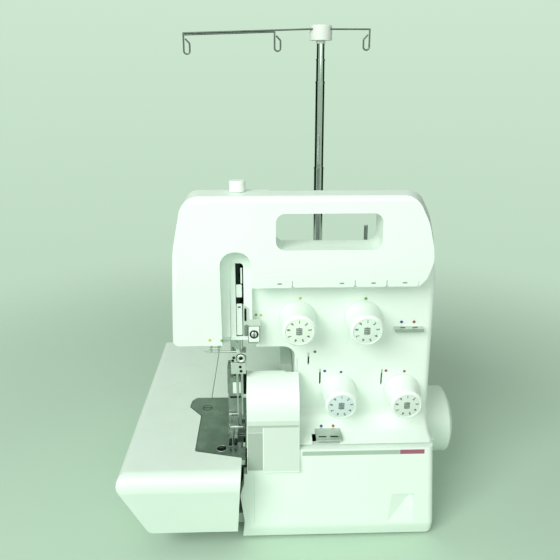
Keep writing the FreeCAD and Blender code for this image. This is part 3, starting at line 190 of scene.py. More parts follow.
def start_material(name, metallic, specular, coat):
    """A new material with the constants of its shader set, its tree and its shader."""
    material = bpy.data.materials.new(name)
    material.use_nodes = True
    tree = material.node_tree
    surface = tree.nodes["Principled BSDF"]
    surface.inputs["Metallic"].default_value = metallic
    surface.inputs["Specular IOR Level"].default_value = specular
    surface.inputs["Coat Weight"].default_value = coat
    surface.inputs["Coat Roughness"].default_value = COAT_ROUGHNESS
    return material, tree, surface


def place_group(tree, group, **values):
    """One of the shared groups, placed in a material with its own values."""
    node = tree.nodes.new("ShaderNodeGroup")
    node.node_tree = group
    for key, value in values.items():
        node.inputs[key.replace("_", " ")].default_value = value
    return node


def mixed(tree, factor, first, second):
    """A colour that goes from first to second with the factor."""
    mix = tree.nodes.new("ShaderNodeMix")
    mix.data_type = "RGBA"
    tree.links.new(factor, mix.inputs["Factor"])
    for socket, value in ((mix.inputs[6], first), (mix.inputs[7], second)):
        if isinstance(value, tuple):
            socket.default_value = value
        else:
            tree.links.new(value, socket)
    return mix.outputs[2]


def ranged(tree, value, low, high):
    """The middle of a noise stretched out to run from low to high."""
    node = add(tree, "ShaderNodeMapRange", From_Min=0.3, From_Max=0.7, To_Min=low, To_Max=high)
    tree.links.new(value, node.inputs["Value"])
    return node.outputs[0]


def bumped(tree, surface, height, strength, depth):
    """A relief of a given depth in metres on the shader's normal."""
    bump = add(tree, "ShaderNodeBump", Strength=strength, Distance=depth)
    tree.links.new(height, bump.inputs["Height"])
    tree.links.new(bump.outputs["Normal"], surface.inputs["Normal"])


print("material helpers ready, coat roughness", COAT_ROUGHNESS)

# %% Plastic, metal and print
FINE_GRAIN = 900.0


def scaled(colour, share):
    """A share of a colour, which is darker."""
    return tuple(c * share for c in colour[:3]) + (1.0,)


def plastic(name, colour, rough, grain=1400.0, depth=0.00002, dust=0.25, coat=0.0, shift=0.03):
    """Moulded plastic: shift is how much darker its colour gets in places, depth the grain in metres."""
    material, tree, surface = start_material(name, 0.0, 0.5, coat)
    skin = place_group(tree, GRAIN, Grain_Scale=grain)
    base = mixed(tree, ranged(tree, skin.outputs["Drift"], 0.0, 1.0), colour, scaled(colour, 1 - shift))
    if dust:
        film = place_group(tree, DUST, Amount=dust)
        dusty = tuple(0.75 * c + 0.08 for c in colour[:3]) + (1.0,)
        base = mixed(tree, film.outputs["Mask"], base, dusty)
    tree.links.new(base, surface.inputs["Base Color"])
    gloss = ranged(tree, skin.outputs["Drift"], rough - 0.04, rough + 0.05)
    tree.links.new(gloss, surface.inputs["Roughness"])
    bumped(tree, surface, skin.outputs["Height"], 0.5, depth)
    return material


def metal(name, colour, rough, stretch=(1.0, 1.0, 0.02), depth=0.00001, dull=0.6):
    """Metal whose lines run along the axis with the small stretch; dull is its colour where handled."""
    material, tree, surface = start_material(name, 1.0, 0.5, 0.0)
    drawn = place_group(tree, LINES, Stretch=stretch)
    base = mixed(tree, ranged(tree, drawn.outputs["Streak"], 0.0, 1.0), colour, scaled(colour, dull))
    tree.links.new(base, surface.inputs["Base Color"])
    gloss = ranged(tree, drawn.outputs["Streak"], rough * 0.75, rough * 1.5)
    tree.links.new(gloss, surface.inputs["Roughness"])
    bumped(tree, surface, drawn.outputs["Height"], 0.4, depth)
    return material


def ink(name, colour, rough):
    """Printed or enamelled marks: nearly even, with the grain of the plastic showing through."""
    return plastic(name, colour, rough, grain=FINE_GRAIN, depth=0.00001, dust=0.0, shift=0.15)


def small_part(name, colour, rough):
    """Clean plastic with a fine grain, for the small parts and inlays."""
    return plastic(name, colour, rough, grain=FINE_GRAIN, dust=0.0)


print("finish builders ready")

# %% [markdown]
# ## The finishes by slot
# The record gives every solid a slot, such as cover_white. The covers are a cool off-white, the tension
# dials the same but glossier where fingers turn them, the frame is cast iron under a thin grey paint,
# and the moving parts are ground or chromed steel.
# %% Finishes for the slots
finishes = {
    "cover_white": plastic("cover_white", hue(236, 249, 239), 0.36, coat=0.08),
    "plate_white": plastic("plate_white", hue(228, 243, 231), 0.40),
    "dial_white": plastic("dial_white", hue(240, 251, 242), 0.33, coat=0.1, dust=0.1),
    "wheel_white": plastic("wheel_white", hue(222, 240, 226), 0.38),
    "base_grey": plastic("base_grey", hue(196, 214, 200), 0.5, grain=700.0, depth=0.00004),
    "knob_grey": plastic("knob_grey", hue(232, 240, 230), 0.45, grain=FINE_GRAIN),
    "black_plastic": plastic("black_plastic", hue(30, 34, 32), 0.35, grain=FINE_GRAIN, depth=0.00003),
    "foot_rubber": plastic("foot_rubber", hue(42, 46, 44), 0.8, grain=500.0, depth=0.0001, dust=0.6),
    "belt_rubber": plastic("belt_rubber", hue(28, 28, 28), 0.75, grain=600.0, depth=0.0001, dust=0.0),
    "satin_steel": metal("satin_steel", hue(158, 170, 162), 0.34, dull=0.8),
    "bright_steel": metal("bright_steel", hue(205, 212, 206), 0.12, dull=0.85),
    "cast_frame": plastic("cast_frame", hue(120, 128, 124), 0.6, grain=260.0, depth=0.0003, shift=0.25),
    "bush_brass": metal("bush_brass", hue(190, 150, 90), 0.3, stretch=(0.02, 1.0, 1.0)),
    "motor_paint": plastic("motor_paint", hue(60, 64, 66), 0.45, grain=400.0, depth=0.0001),
    "lamp_lens": plastic("lamp_lens", hue(250, 246, 225), 0.15, grain=300.0, depth=0.0001, dust=0.0,
                         coat=0.5),
}


def wear(node_name, material):
    """Put a finish on every face of a CAD solid."""
    for slot in nodes[node_name].material_slots:
        slot.material = material


DRAWN_ACROSS = (1.0, 0.04, 1.0)
needle_plate_steel = metal("ground_plate", hue(134, 147, 139), 0.3, stretch=DRAWN_ACROSS, dull=0.82)
tube_chrome = metal("tube_chrome", hue(196, 204, 198), 0.1, stretch=(1.0, 1.0, 0.01), depth=0.000004,
                    dull=0.9)
unmatched = []
for node_name, piece in nodes.items():
    for slot in piece.material_slots:
        slot_name = slot.material.name.split(".")[0]
        if slot_name in finishes:
            slot.material = finishes[slot_name]
        else:
            unmatched.append((node_name, slot_name))
wear("needle_plate", needle_plate_steel)
for tube in ("pole_lower_tube", "pole_middle_tube", "pole_upper_tube", "pole_top_tube"):
    wear(tube, tube_chrome)
wear("thread_guide_bar", metal("dark_wire", hue(112, 120, 114), 0.25, dull=0.7))
print("solids without a slot finish:", unmatched)

# %% [markdown]
# ## Feeling for the surface
# Small details have to sit exactly on the curved covers. They could be nudged by eye, but a ray sent
# straight back at the solid gives the point and the slope of the surface, so a thin piece can follow it.
# %% Touch a solid
RAY_START_Y = -60.0
TO_THE_BACK = Vector((0, 1, 0))
TO_THE_FRONT = Vector((0, -1, 0))


def touch(node_name, x, z):
    """Where a ray from the front, at x and z in millimetres, meets a solid, and the slope there."""
    hit, point, normal, _ = nodes[node_name].ray_cast(at(x, RAY_START_Y, z), TO_THE_BACK)
    if not hit:
        raise ValueError("nothing to touch on " + node_name + " at " + str((x, z)))
    return point, normal


def frame_at(point, normal):
    """A matrix whose Z leaves the surface and whose X stays level."""
    side = Vector((0, 0, 1)).cross(normal).normalized()
    rise = normal.cross(side)
    matrix = Matrix((side, rise, normal)).transposed().to_4x4()
    matrix.translation = point
    return matrix


head_front = touch("front_cover", 30, 225)[0]
print("the front of the head is at", tuple(round(v, 4) for v in head_front))

# %% Turn a drawn shape into a piece
def put_in_scene(name, data):
    """A new object in the scene that shows a mesh, a lamp or a camera."""
    made = bpy.data.objects.new(name, data)
    bpy.context.scene.collection.objects.link(made)
    return made


def mesh_of(name, shape, material, size=MM):
    """The mesh of a bmesh, which was drawn in millimetres unless another size is given."""
    mesh = bpy.data.meshes.new(name)
    bmesh.ops.scale(shape, vec=(size, size, size), verts=shape.verts)
    shape.to_mesh(mesh)
    shape.free()
    mesh.materials.append(material)
    return mesh


def finish_piece(name, shape, material, body, matrix=Matrix(), smooth=True):
    """Turn a bmesh drawn in millimetres into a named piece that rides on a body."""
    mesh = mesh_of(name, shape, material)
    piece = put_in_scene(name, mesh)
    piece.matrix_world = matrix
    for polygon in mesh.polygons:
        polygon.use_smooth = smooth
    bpy.context.view_layer.update()
    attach(piece, body)
    return piece


print("one drawn millimetre is", MM, "m")

# %% Turned shapes
def turned(profile, steps):
    """A shape turned about Z from (radius, height) pairs in millimetres."""
    shape = bmesh.new()
    rings = []
    for radius, height in profile:
        if radius == 0:
            rings.append([shape.verts.new((0, 0, height))])
            continue
        turns = [2 * math.pi * i / steps for i in range(steps)]
        rings.append([shape.verts.new((radius * math.cos(a), radius * math.sin(a), height))
                      for a in turns])
    for lower, upper in zip(rings, rings[1:]):
        for i in range(steps):
            j = (i + 1) % steps
            corners = [lower[i % len(lower)], lower[j % len(lower)],
                       upper[j % len(upper)], upper[i % len(upper)]]
            unique = list(dict.fromkeys(corners))
            if len(unique) > 2:
                shape.faces.new(unique)
    bmesh.ops.recalc_face_normals(shape, faces=shape.faces)
    return shape


print("turned shapes ready")

# %% Inlays that follow a cover
def stations_between(left, right, columns, corner):
    """Places along X, closer together at the ends where the corners are round."""
    if not corner:
        return [left + (right - left) * c / columns for c in range(columns + 1)]
    ends = [corner * (1 - math.cos(math.radians(15 * k))) for k in range(7)]
    middle = [left + corner + (right - left - 2 * corner) * c / columns for c in range(1, columns)]
    return [left + e for e in ends] + middle + [right - e for e in reversed(ends)]


LEAST_HALF = 0.05


def laid_strip(node_name, left, right, low, high, lift, name, material, body, columns, rows, corner=0.0):
    """A thin inlay that follows a solid between two X and two Z values, with rounded corners if asked."""
    shape = bmesh.new()
    stations = stations_between(left, right, columns, corner)
    grid = []
    for r in range(rows + 1):
        line = []
        for x in stations:
            near_end = max(0.0, corner - min(x - left, right - x))
            cut = corner - math.sqrt(max(0.0, corner * corner - near_end * near_end))
            cut = min(cut, (high - low) / 2 - LEAST_HALF)
            z = low + cut + (high - low - 2 * cut) * r / rows
            point, normal = touch(node_name, x, z)
            line.append(shape.verts.new((point + normal * lift * MM) / MM))
        grid.append(line)
    for r in range(rows):
        for c in range(len(stations) - 1):
            shape.faces.new((grid[r][c], grid[r][c + 1], grid[r + 1][c + 1], grid[r + 1][c]))
    back = bmesh.ops.extrude_face_region(shape, geom=list(shape.faces))
    moved = [v for v in back["geom"] if isinstance(v, bmesh.types.BMVert)]
    bmesh.ops.translate(shape, vec=(0, 2 * lift, 0), verts=moved)
    bmesh.ops.recalc_face_normals(shape, faces=shape.faces)
    return finish_piece(name, shape, material, body, smooth=False)


print("round corners take", len(stations_between(0, 10, 1, 1.0)) // 2, "stations at each end")

# %% Rounded plates
PLATE_BEVEL = 0.2
CORNER_SIDES = 6


def plate(width, height, radius, thick):
    """A rounded plate drawn about its own middle, standing up along Z, with a bevelled top edge."""
    shape = bmesh.new()
    corners = []
    for sx, sy, turn in ((1, 1, 0), (-1, 1, 90), (-1, -1, 180), (1, -1, 270)):
        for i in range(CORNER_SIDES + 1):
            a = math.radians(turn + 90 * i / CORNER_SIDES)
            corners.append((sx * (width / 2 - radius) + radius * math.cos(a),
                            sy * (height / 2 - radius) + radius * math.sin(a)))
    levels = ((0, 0), (thick - PLATE_BEVEL, 0), (thick, PLATE_BEVEL))
    rings = []
    for level, inset in levels:
        fx, fy = 1 - 2 * inset / width, 1 - 2 * inset / height
        rings.append([shape.verts.new((u * fx, v * fy, level)) for u, v in corners])
    count = len(corners)
    for lower, upper in zip(rings, rings[1:]):
        for i in range(count):
            j = (i + 1) % count
            shape.faces.new((lower[i], lower[j], upper[j], upper[i]))
    shape.faces.new(rings[-1])
    shape.faces.new(list(reversed(rings[0])))
    return shape


print("plates have a bevel of", PLATE_BEVEL, "mm")

# %% [markdown]
# ## Threading dots
# Each thread has a colour: yellow and green for the two needles, blue and red for the loopers. The dots
# are drops of enamel. A low turned dome with a rounded edge catches the light the way a printed flat
# disc would not.
# %% Lay the threading dots
DOT_RISE = 0.3


def button(radius, rise):
    """A dot of enamel: a low dome with a rounded edge."""
    edge = [(0, 0), (radius, 0), (radius, rise * 0.5)]
    return turned(edge + [(radius * 0.88, rise * 0.85), (radius * 0.5, rise), (0, rise)], 24)


enamel = {
    "yellow": ink("enamel_yellow", hue(214, 206, 104), 0.3),
    "green": ink("enamel_green", hue(108, 168, 82), 0.3),
    "deep_green": ink("enamel_deep_green", hue(66, 116, 84), 0.3),
    "blue": ink("enamel_blue", hue(66, 86, 138), 0.3),
    "red": ink("enamel_red", hue(164, 84, 76), 0.3),
}
dots = [    # colour, x, z and radius
    ("yellow", 46.7, 199.4, 1.15), ("green", 95.8, 198.7, 1.15), ("blue", 79.6, 134.9, 1.1),
    ("red", 129.6, 134.8, 1.1), ("deep_green", 58.7, 153.6, 1.1), ("blue", 66.8, 136.1, 1.2),
    ("red", 115.1, 135.6, 1.2), ("blue", 124.1, 178.6, 1.2), ("red", 133.7, 178.6, 1.2),
    ("blue", 64.6, 88.6, 1.2), ("red", 74.2, 88.6, 1.2), ("green", 13.7, 186.2, 1.0),
    ("yellow", 17.4, 185.9, 1.0), ("yellow", -20.0, 173.2, 1.1), ("green", -11.1, 172.6, 1.1),
]
for number, (colour, x, z, radius) in enumerate(dots):
    matrix = frame_at(*touch("front_cover", x, z))
    finish_piece(f"thread_dot_{number + 1}", button(radius, DOT_RISE), enamel[colour], "machine", matrix)
print("threading dots", len(dots))

# %% [markdown]
# ## Tension dials
# A tension dial is a hollow tapered knob with a printed disc sunk in its end. The disc carries the
# numbers. It could be an image, but lettering as thin raised shapes stays sharp at any distance and
# can be turned with the knob, so each number is a text curve made into a mesh and joined to one piece.
# %% Draw numbers as shapes
def numeral(text, size):
    """The outline of a number as a mesh, drawn about its own middle, in millimetres."""
    curve = bpy.data.curves.new("numeral_" + text, "FONT")
    curve.body = text
    curve.size = size
    curve.align_x = "CENTER"
    curve.align_y = "CENTER"
    curve.extrude = 0.06
    curve.offset = 0.09
    curve.resolution_u = 3
    holder = bpy.data.objects.new("numeral_holder", curve)
    mesh = bpy.data.meshes.new_from_object(holder)
    bpy.data.objects.remove(holder)
    return mesh


def bar(shape, x, y, width, height, thick):
    """Add a small flat bar to a shape."""
    made = bmesh.ops.create_cube(shape, size=1.0)
    bmesh.ops.scale(shape, vec=(width, height, thick), verts=made["verts"])
    bmesh.ops.translate(shape, vec=(x, y, 0), verts=made["verts"])


NUMERAL_HIGH = 3.1
NUMERALS = [numeral(str(n), NUMERAL_HIGH) for n in range(1, 10)]
print("numerals", len(NUMERALS))

# %% Dress the dials
PANEL_TILT = math.radians(6.0)
PANEL_OUT = Vector((0, -math.cos(PANEL_TILT), -math.sin(PANEL_TILT)))
digit_ink = ink("dial_ink", hue(64, 82, 78), 0.5)
dials = {    # body, x and z of the knob's end, colour of the disc
    "left_needle_dial": ("dial_a", 45.0, 183.6, hue(232, 245, 230)),
    "right_needle_dial": ("dial_b", 94.2, 183.3, hue(224, 241, 228)),
    "upper_looper_dial": ("dial_c", 78.0, 118.9, hue(214, 230, 228)),
    "lower_looper_dial": ("dial_d", 128.2, 118.4, hue(220, 232, 222)),
}
DISC_DROP = 2.2
DISC_RADIUS, DISC_RISE = 10.0, 0.26
DISC_PROFILE = [(0, 0.0), (DISC_RADIUS, 0.0), (DISC_RADIUS, 0.18), (9.7, DISC_RISE), (0, 0.2)]
NUMERAL_RING = 7.7
NUMERAL_STEP = 40


def printed_marks():
    """The ring of numbers, and the small lattice of five strokes and four bars in its middle."""
    shape = bmesh.new()
    for number, mesh in enumerate(NUMERALS):
        angle = math.radians(90 - NUMERAL_STEP * number)
        before = len(shape.verts)
        shape.from_mesh(mesh)
        shape.verts.ensure_lookup_table()
        fresh = shape.verts[before:]
        turn = Matrix.Rotation(angle - math.pi / 2, 4, "Z")
        spot = (NUMERAL_RING * math.cos(angle), NUMERAL_RING * math.sin(angle), DISC_RISE)
        bmesh.ops.transform(shape, matrix=Matrix.Translation(spot) @ turn, verts=fresh)
    for column in range(-2, 3):
        bar(shape, column * 0.92, 0, 0.5, 6.4 - abs(column) * 0.4, 0.5)
    for row in (-2.2, -0.8, 0.8, 2.2):
        bar(shape, 0, row, 4.3, 0.42, 0.52)
    return shape


for node_name, (body, x, z, colour) in dials.items():
    matrix = frame_at(touch(node_name, x, z - DISC_DROP)[0], PANEL_OUT)
    disc = small_part(node_name + "_disc", colour, 0.42)
    finish_piece(node_name + "_face", turned(DISC_PROFILE, 48), disc, body, matrix)
    finish_piece(node_name + "_numbers", printed_marks(), digit_ink, body, matrix, smooth=False)
print("dials dressed", len(dials))

# %% [markdown]
# ## Thread slots
# Beside the dials the thread passes through three upright slots in the panel. The CAD has the real
# openings. A black plate behind each one is painted shade for the dark inside of the slot, and a pale
# pin sits at its top, where the thread snaps in.
# %% Paint shade in the thread slots and set their pins
# The black plates behind the slot openings are painted shade for the dark inside of each slot.
slot_shade_black = small_part("slot_liner", hue(38, 46, 42), 0.5)
pin_pale = small_part("slot_pin", hue(214, 230, 217), 0.35)


def standing_plate(name, x, y, z, width, height, radius, thick, material, body="machine"):
    """A small rounded plate that stands upright and looks forward, at a depth y."""
    matrix = frame_at(at(x, y, z), TO_THE_FRONT)
    return finish_piece(name, plate(width, height, radius, thick), material, body, matrix, smooth=False)


BESIDE_SLOT = 2.5
SHADE_SHEET_DEPTH = 5.0
PIN_HIGH = 3.8
slots = [("left", 53.8, 142.0, 152.8), ("middle", 63.2, 124.0, 138.4), ("right", 111.8, 122.8, 137.1)]
for label, x, low, high in slots:
    middle = (low + high) / 2
    y = touch("front_cover", x + BESIDE_SLOT, middle)[0].y / MM + NEEDLE_TO_MIDDLE.y
    standing_plate("slot_liner_" + label, x, y + SHADE_SHEET_DEPTH, middle, 3.0, high - low + 1.5, 0.6, 0.8,
                   slot_shade_black)
    pin = turned([(0, 0), (0.55, 0), (0.55, 3.4), (0.3, PIN_HIGH), (0, 3.9)], 16)
    pin_place = Matrix.Translation(at(x, y + 0.6, high - PIN_HIGH))
    finish_piece("slot_pin_" + label, pin, pin_pale, "machine", pin_place)
print("slots shaded", len(slots))

# %% [markdown]
# ## The strip under the hood
# A strip with four low raised tabs runs along the lower edge of the hood, one tab over each dial. Only
# a hair line shows between two tabs, so the gap is made as a real step: a strip coloured as painted
# shade lies on the hood, and four rounded plates a little thicker lie on top of it, so that the painted
# shade shows only in the gaps.
# %% Draw the hood strip
# The shaded strip under the tabs is painted shade for the gaps between them.
groove_shade = small_part("groove_shade", hue(168, 190, 174), 0.55)
TAB_LOW, TAB_HIGH = 214.4, 221.0
DASH_LOW, DASH_HIGH, DASH_HALF = 217.2, 217.9, 1.5
# left end, right end and the middle of the dash
tabs = ((18.8, 39.6, 30.9), (40.3, 84.1, 75.0), (84.8, 106.7, 97.4), (107.4, 129.6, 119.8))
dash_ink = ink("dash_ink", hue(112, 132, 120), 0.5)
laid_strip("front_cover", tabs[0][1] - 1.0, tabs[-1][1] + 0.3, TAB_LOW, TAB_HIGH - 1.4, 0.03,
           "hood_strip_shade", groove_shade, "machine", 60, 2, corner=1.5)
for number, (left, right, dash_x) in enumerate(tabs):
    laid_strip("front_cover", left, right, TAB_LOW + 0.2, TAB_HIGH, 0.12, f"hood_tab_{number + 1}",
               finishes["cover_white"], "machine", 16, 3, corner=1.6)
    laid_strip("front_cover", dash_x - DASH_HALF, dash_x + DASH_HALF, DASH_LOW, DASH_HIGH, 0.4,
               f"hood_dash_{number + 1}", dash_ink, "machine", 4, 1)
print("hood tabs", len(tabs))

# %% [markdown]
# ## The looper cover's stripe, grip and seam
# The front door carries a two-colour stripe, a finger recess with fine ribs beside it, and a seam where
# its left end piece was moulded on. The stripe is an inlay that follows the gently crowned face.
# %% Lay the stripe and the seam
def door_inlay(name, left, right, low, high, lift, material, columns, rows):
    """An inlay on the looper cover, which moves with it."""
    laid_strip("looper_cover", left, right, low, high, lift, name, material, "looper_door", columns, rows)


stripe_grey = ink("stripe_grey", hue(178, 200, 181), 0.42)
stripe_rose = ink("stripe_rose", hue(172, 100, 122), 0.42)
seam_shade = small_part("seam_shade", hue(206, 226, 210), 0.5)
STRIPE_LOW, STRIPE_END = 77.0, 142.8
door_inlay("door_stripe_grey", 48.3, 123.6, STRIPE_LOW, 80.6, 0.06, stripe_grey, 40, 3)
door_inlay("door_stripe_rose", 123.8, STRIPE_END, STRIPE_LOW, 80.7, 0.07, stripe_rose, 12, 3)
door_inlay("door_seam", 10.75, 11.05, 18.0, 62.0, 0.04, seam_shade, 2, 20)
RIB_START, RIB_STEP, RIB_WIDE = 137.9, 1.4, 0.6
for number in range(8):
    x = RIB_START + RIB_STEP * number
    door_inlay(f"grip_rib_{number + 1}", x, x + RIB_WIDE, 16.2, 41.0, 0.16, finishes["cover_white"], 2, 8)
print("stripe ends at", STRIPE_END)

# %% [markdown]
# ## The needle channel
# The channel under the head shows the working end of the machine: the sleeve that the needle bar runs
# in, its white guide plates, a dark clamp ring, and a square steel plate with a slotted screw. They are
# small turned and bevelled pieces, placed round the bar that the CAD already has.
# %% Finishes in the channel
sleeve_black = metal("sleeve_black", hue(40, 48, 44), 0.3, stretch=(1.0, 1.0, 0.05), dull=0.7)
card_white = small_part("guide_white", hue(232, 246, 236), 0.38)
clamp_steel = metal("clamp_steel", hue(226, 232, 227), 0.42, stretch=(1.0, 1.0, 0.1), dull=0.88)
nickel = metal("dull_nickel", hue(168, 178, 171), 0.32, stretch=(1.0, 0.1, 1.0), dull=0.7)
mark_dark = ink("channel_mark", hue(70, 84, 76), 0.5)
shade_grey = small_part("channel_shade", hue(196, 212, 198), 0.5)
print("channel finishes", [m.name for m in (sleeve_black, card_white, clamp_steel, nickel)])

# %% Fit the sleeve and the guide plates
BAR_BORE = 3.7
bar_line = Matrix.Translation(at(0, 22, 0))
sleeve = [(BAR_BORE, 211.0), (5.0, 211.0), (5.3, 211.6), (5.3, 229.0), (4.6, 231.5), (BAR_BORE, 231.5)]
finish_piece("needle_bar_sleeve", turned(sleeve, 32), sleeve_black, "machine", bar_line)
ring = [(BAR_BORE, 196.6), (4.6, 196.6), (4.7, 197.2), (4.7, 201.8), (4.6, 202.4), (BAR_BORE, 202.4)]
finish_piece("needle_bar_ring", turned(ring, 32), sleeve_black, "machine", bar_line)
CHANNEL_Y, LINER_Y, CARD_Y = 16.2, 16.4, 17.2
# name, x, depth, z, width, height, corner, thickness and finish
channel_plates = [
    ("channel_liner", -3.0, LINER_Y, 199.5, 4.2, 61.0, 0.8, 0.7, card_white),
    ("needle_bar_card", 1.5, CARD_Y, 207.0, 4.3, 10.0, 0.8, 0.7, card_white),
    ("needle_bar_card_low", 1.5, CARD_Y, 184.5, 4.3, 25.0, 0.8, 0.7, card_white),
    ("card_mark", 1.5, 16.5, 194.4, 2.2, 1.2, 0.3, 0.15, mark_dark),
    ("channel_pointer", 3.4, LINER_Y, 219.0, 1.2, 12.0, 0.5, 0.8, card_white),
    # The grey plate right of the slot is painted shadow on the deeper wall, cast by the wall beside the bar.
    ("channel_right_painted_shadow", 6.7, 17.0, 182.6, 5.0, 28.6, 0.8, 0.7, shade_grey),
    ("channel_sill", 1.9, CHANNEL_Y, 169.9, 14.0, 2.8, 0.5, 0.7, card_white),
    ("channel_link", 5.9, CHANNEL_Y, 188.5, 1.5, 10.0, 0.6, 0.5, sleeve_black),
    ("channel_link_low", 6.2, CHANNEL_Y, 176.0, 2.6, 9.0, 0.6, 0.5, nickel),
]
for row in channel_plates:
    standing_plate(*row)
print("channel plates", len(channel_plates))

# %% Fit the square plate and its screw
def faced(name, profile, x, y, z, material, body):
    """A turned piece that looks forward."""
    return finish_piece(name, turned(profile, 32), material, body, frame_at(at(x, y, z), TO_THE_FRONT))


SQUARE_X, SQUARE_Y, SQUARE_Z = 12.2, 14.3, 173.9
SCREW_Y = SQUARE_Y - 1.0
standing_plate("square_backing", 13.0, SQUARE_Y, 182.5, 8.4, 6.0, 0.5, 0.4, shade_grey)
standing_plate("square_plate_edge", SQUARE_X, SQUARE_Y, SQUARE_Z, 8.7, 13.1, 0.7, 0.6, mark_dark)
standing_plate("square_plate", SQUARE_X, SQUARE_Y - 0.5, SQUARE_Z, 7.9, 12.3, 0.5, 0.5, card_white)
screw_rim = [(0, 0.4), (2.6, 0.4), (3.4, 0.0)]
faced("square_screw", screw_rim, SQUARE_X, SCREW_Y, SQUARE_Z, sleeve_black, "machine")
screw_head = [(0, 0.6), (1.9, 0.6), (2.2, 0.35)]
faced("square_screw_head", screw_head, SQUARE_X, SCREW_Y, SQUARE_Z, clamp_steel, "machine")
standing_plate("square_screw_slot", SQUARE_X, SCREW_Y - 0.55, SQUARE_Z, 0.9, 4.4, 0.3, 0.2, sleeve_black)
print("square plate at", (SQUARE_X, SQUARE_Z))

# %% [markdown]
# ## The needle clamp
# Two ground blocks hold the needles under the bar. A wide ring screw draws the upper block tight, two
# small ones lock it, and two grub screws sit in the lower block. They ride on the needle bar, and they
# stand in for the plain solids that the CAD has there.
# %% Build the needle clamp
CLAMP_X, CLAMP_FRONT, CLAMP_BACK = 0.0, 15.6, 26.5
CLAMP_WIDE = 11.4


def clamp_block(name, low, high):
    """One of the two ground blocks, between two heights."""
    return standing_plate(name, CLAMP_X, CLAMP_BACK, (low + high) / 2, CLAMP_WIDE, high - low, 0.6,
                          CLAMP_BACK - CLAMP_FRONT, clamp_steel, "needle_bar_group")


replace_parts(clamp_block("clamp_block_upper", 149.9, 157.8), "needle_clamp")
clamp_block("clamp_block_lower", 140.4, 149.4)
standing_plate("clamp_gap", CLAMP_X, CLAMP_BACK, 149.65, CLAMP_WIDE - 0.6, 1.0, 0.2, 10.0, sleeve_black,
               "needle_bar_group")
# the ring screw, its socket and its edge share one middle, at x 2.0 and z 153.5
ring_screw = [(0, 0.2), (1.5, 0.2), (1.7, 0.9), (2.6, 1.1), (3.3, 0.8), (3.5, 0.0)]
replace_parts(faced("clamp_ring_screw", ring_screw, 2.0, CLAMP_FRONT, 153.5, clamp_steel, "needle_bar_group"),
            "clamp_screws")
groove = [(0, 0.3), (1.45, 0.3), (1.45, 0.0)]
faced("clamp_ring_socket", groove, 2.0, CLAMP_FRONT, 153.5, sleeve_black, "needle_bar_group")
halo = [(3.45, 0.0), (3.45, 0.25), (3.9, 0.25), (3.9, 0.0)]
faced("clamp_ring_edge", halo, 2.0, CLAMP_FRONT, 153.5, sleeve_black, "needle_bar_group")
grub = [(0, 0.25), (0.9, 0.25), (1.15, 0.0)]
for number, (x, z) in enumerate(((-3.4, 154.0), (1.4, 146.3), (1.9, 142.8), (-4.2, 151.6))):
    faced(f"clamp_grub_{number + 1}", grub, x, CLAMP_FRONT, z, sleeve_black, "needle_bar_group")
print("clamp built round x", CLAMP_X)

# %% [markdown]
# ## The presser foot
# The foot is dull nickel, darker than the ground blocks above it. Its two toes end in black tips. On the
# holder a white plate is painted light on its lit front, and a black strip beside it is painted shadow
# on its shaded side.
# %% Dress the presser foot
wear("presser_foot", nickel)
wear("foot_holder", nickel)
# name, x, depth, z, width, height, corner, thickness, finish and body
foot_plates = [
    # The first two plates are painted light on the holder's lit front and painted shadow on its shaded side.
    ("holder_face", -2.0, 27.4, 122.4, 6.4, 9.4, 0.4, 0.5, card_white, "presser_group"),
    ("holder_painted_shadow", 3.7, 29.0, 126.5, 4.2, 21.0, 0.4, 0.6, sleeve_black, "presser_group"),
    ("holder_band", -3.4, 28.6, 113.6, 8.4, 2.2, 0.3, 0.5, sleeve_black, "presser_group"),
    ("foot_wire", -4.6, 26.4, 100.0, 8.4, 0.7, 0.3, 0.6, clamp_steel, "foot"),
    ("foot_crossbar", -2.9, 28.0, 87.2, 10.6, 1.4, 0.4, 0.6, clamp_steel, "foot"),
    ("toe_tip_1", -7.2, 17.2, 82.6, 2.5, 3.0, 0.9, 6.0, sleeve_black, "foot"),
    ("toe_tip_2", -3.3, 17.2, 82.6, 2.5, 3.0, 0.9, 6.0, sleeve_black, "foot"),
]
for row in foot_plates:
    standing_plate(*row)
print("foot plates", len(foot_plates))

# %% [markdown]
# ## Rims round the plate screws
# The needle plate's two screws are sunk in it. A thin ring marks the edge of each bore, and a dark disc
# over the near screw's head is painted shade for its hollow.
# %% Ring the plate screws
PLATE_TOP = 80.0
screw_ring = [(3.8, 0.0), (3.8, 0.12), (4.15, 0.12), (4.15, 0.0)]
far_screw = Matrix.Translation(at(-30.0, 69.4, PLATE_TOP))
near_screw = Matrix.Translation(at(-14.0, 10.0, PLATE_TOP))
finish_piece("plate_screw_rim_1", turned(screw_ring, 36), sleeve_black, "machine", far_screw)
finish_piece("plate_screw_rim_2", turned(screw_ring, 36), clamp_steel, "machine", near_screw)
# The dark disc over the near screw is painted shade for the hollow of its sunk head.
hollow = [(0, 0.1), (3.7, 0.1), (3.7, 0.0)]
finish_piece("plate_screw_painted_shade", turned(hollow, 36), sleeve_black, "machine", near_screw)
wear("plate_screws", needle_plate_steel)
print("plate screws ringed at height", PLATE_TOP)

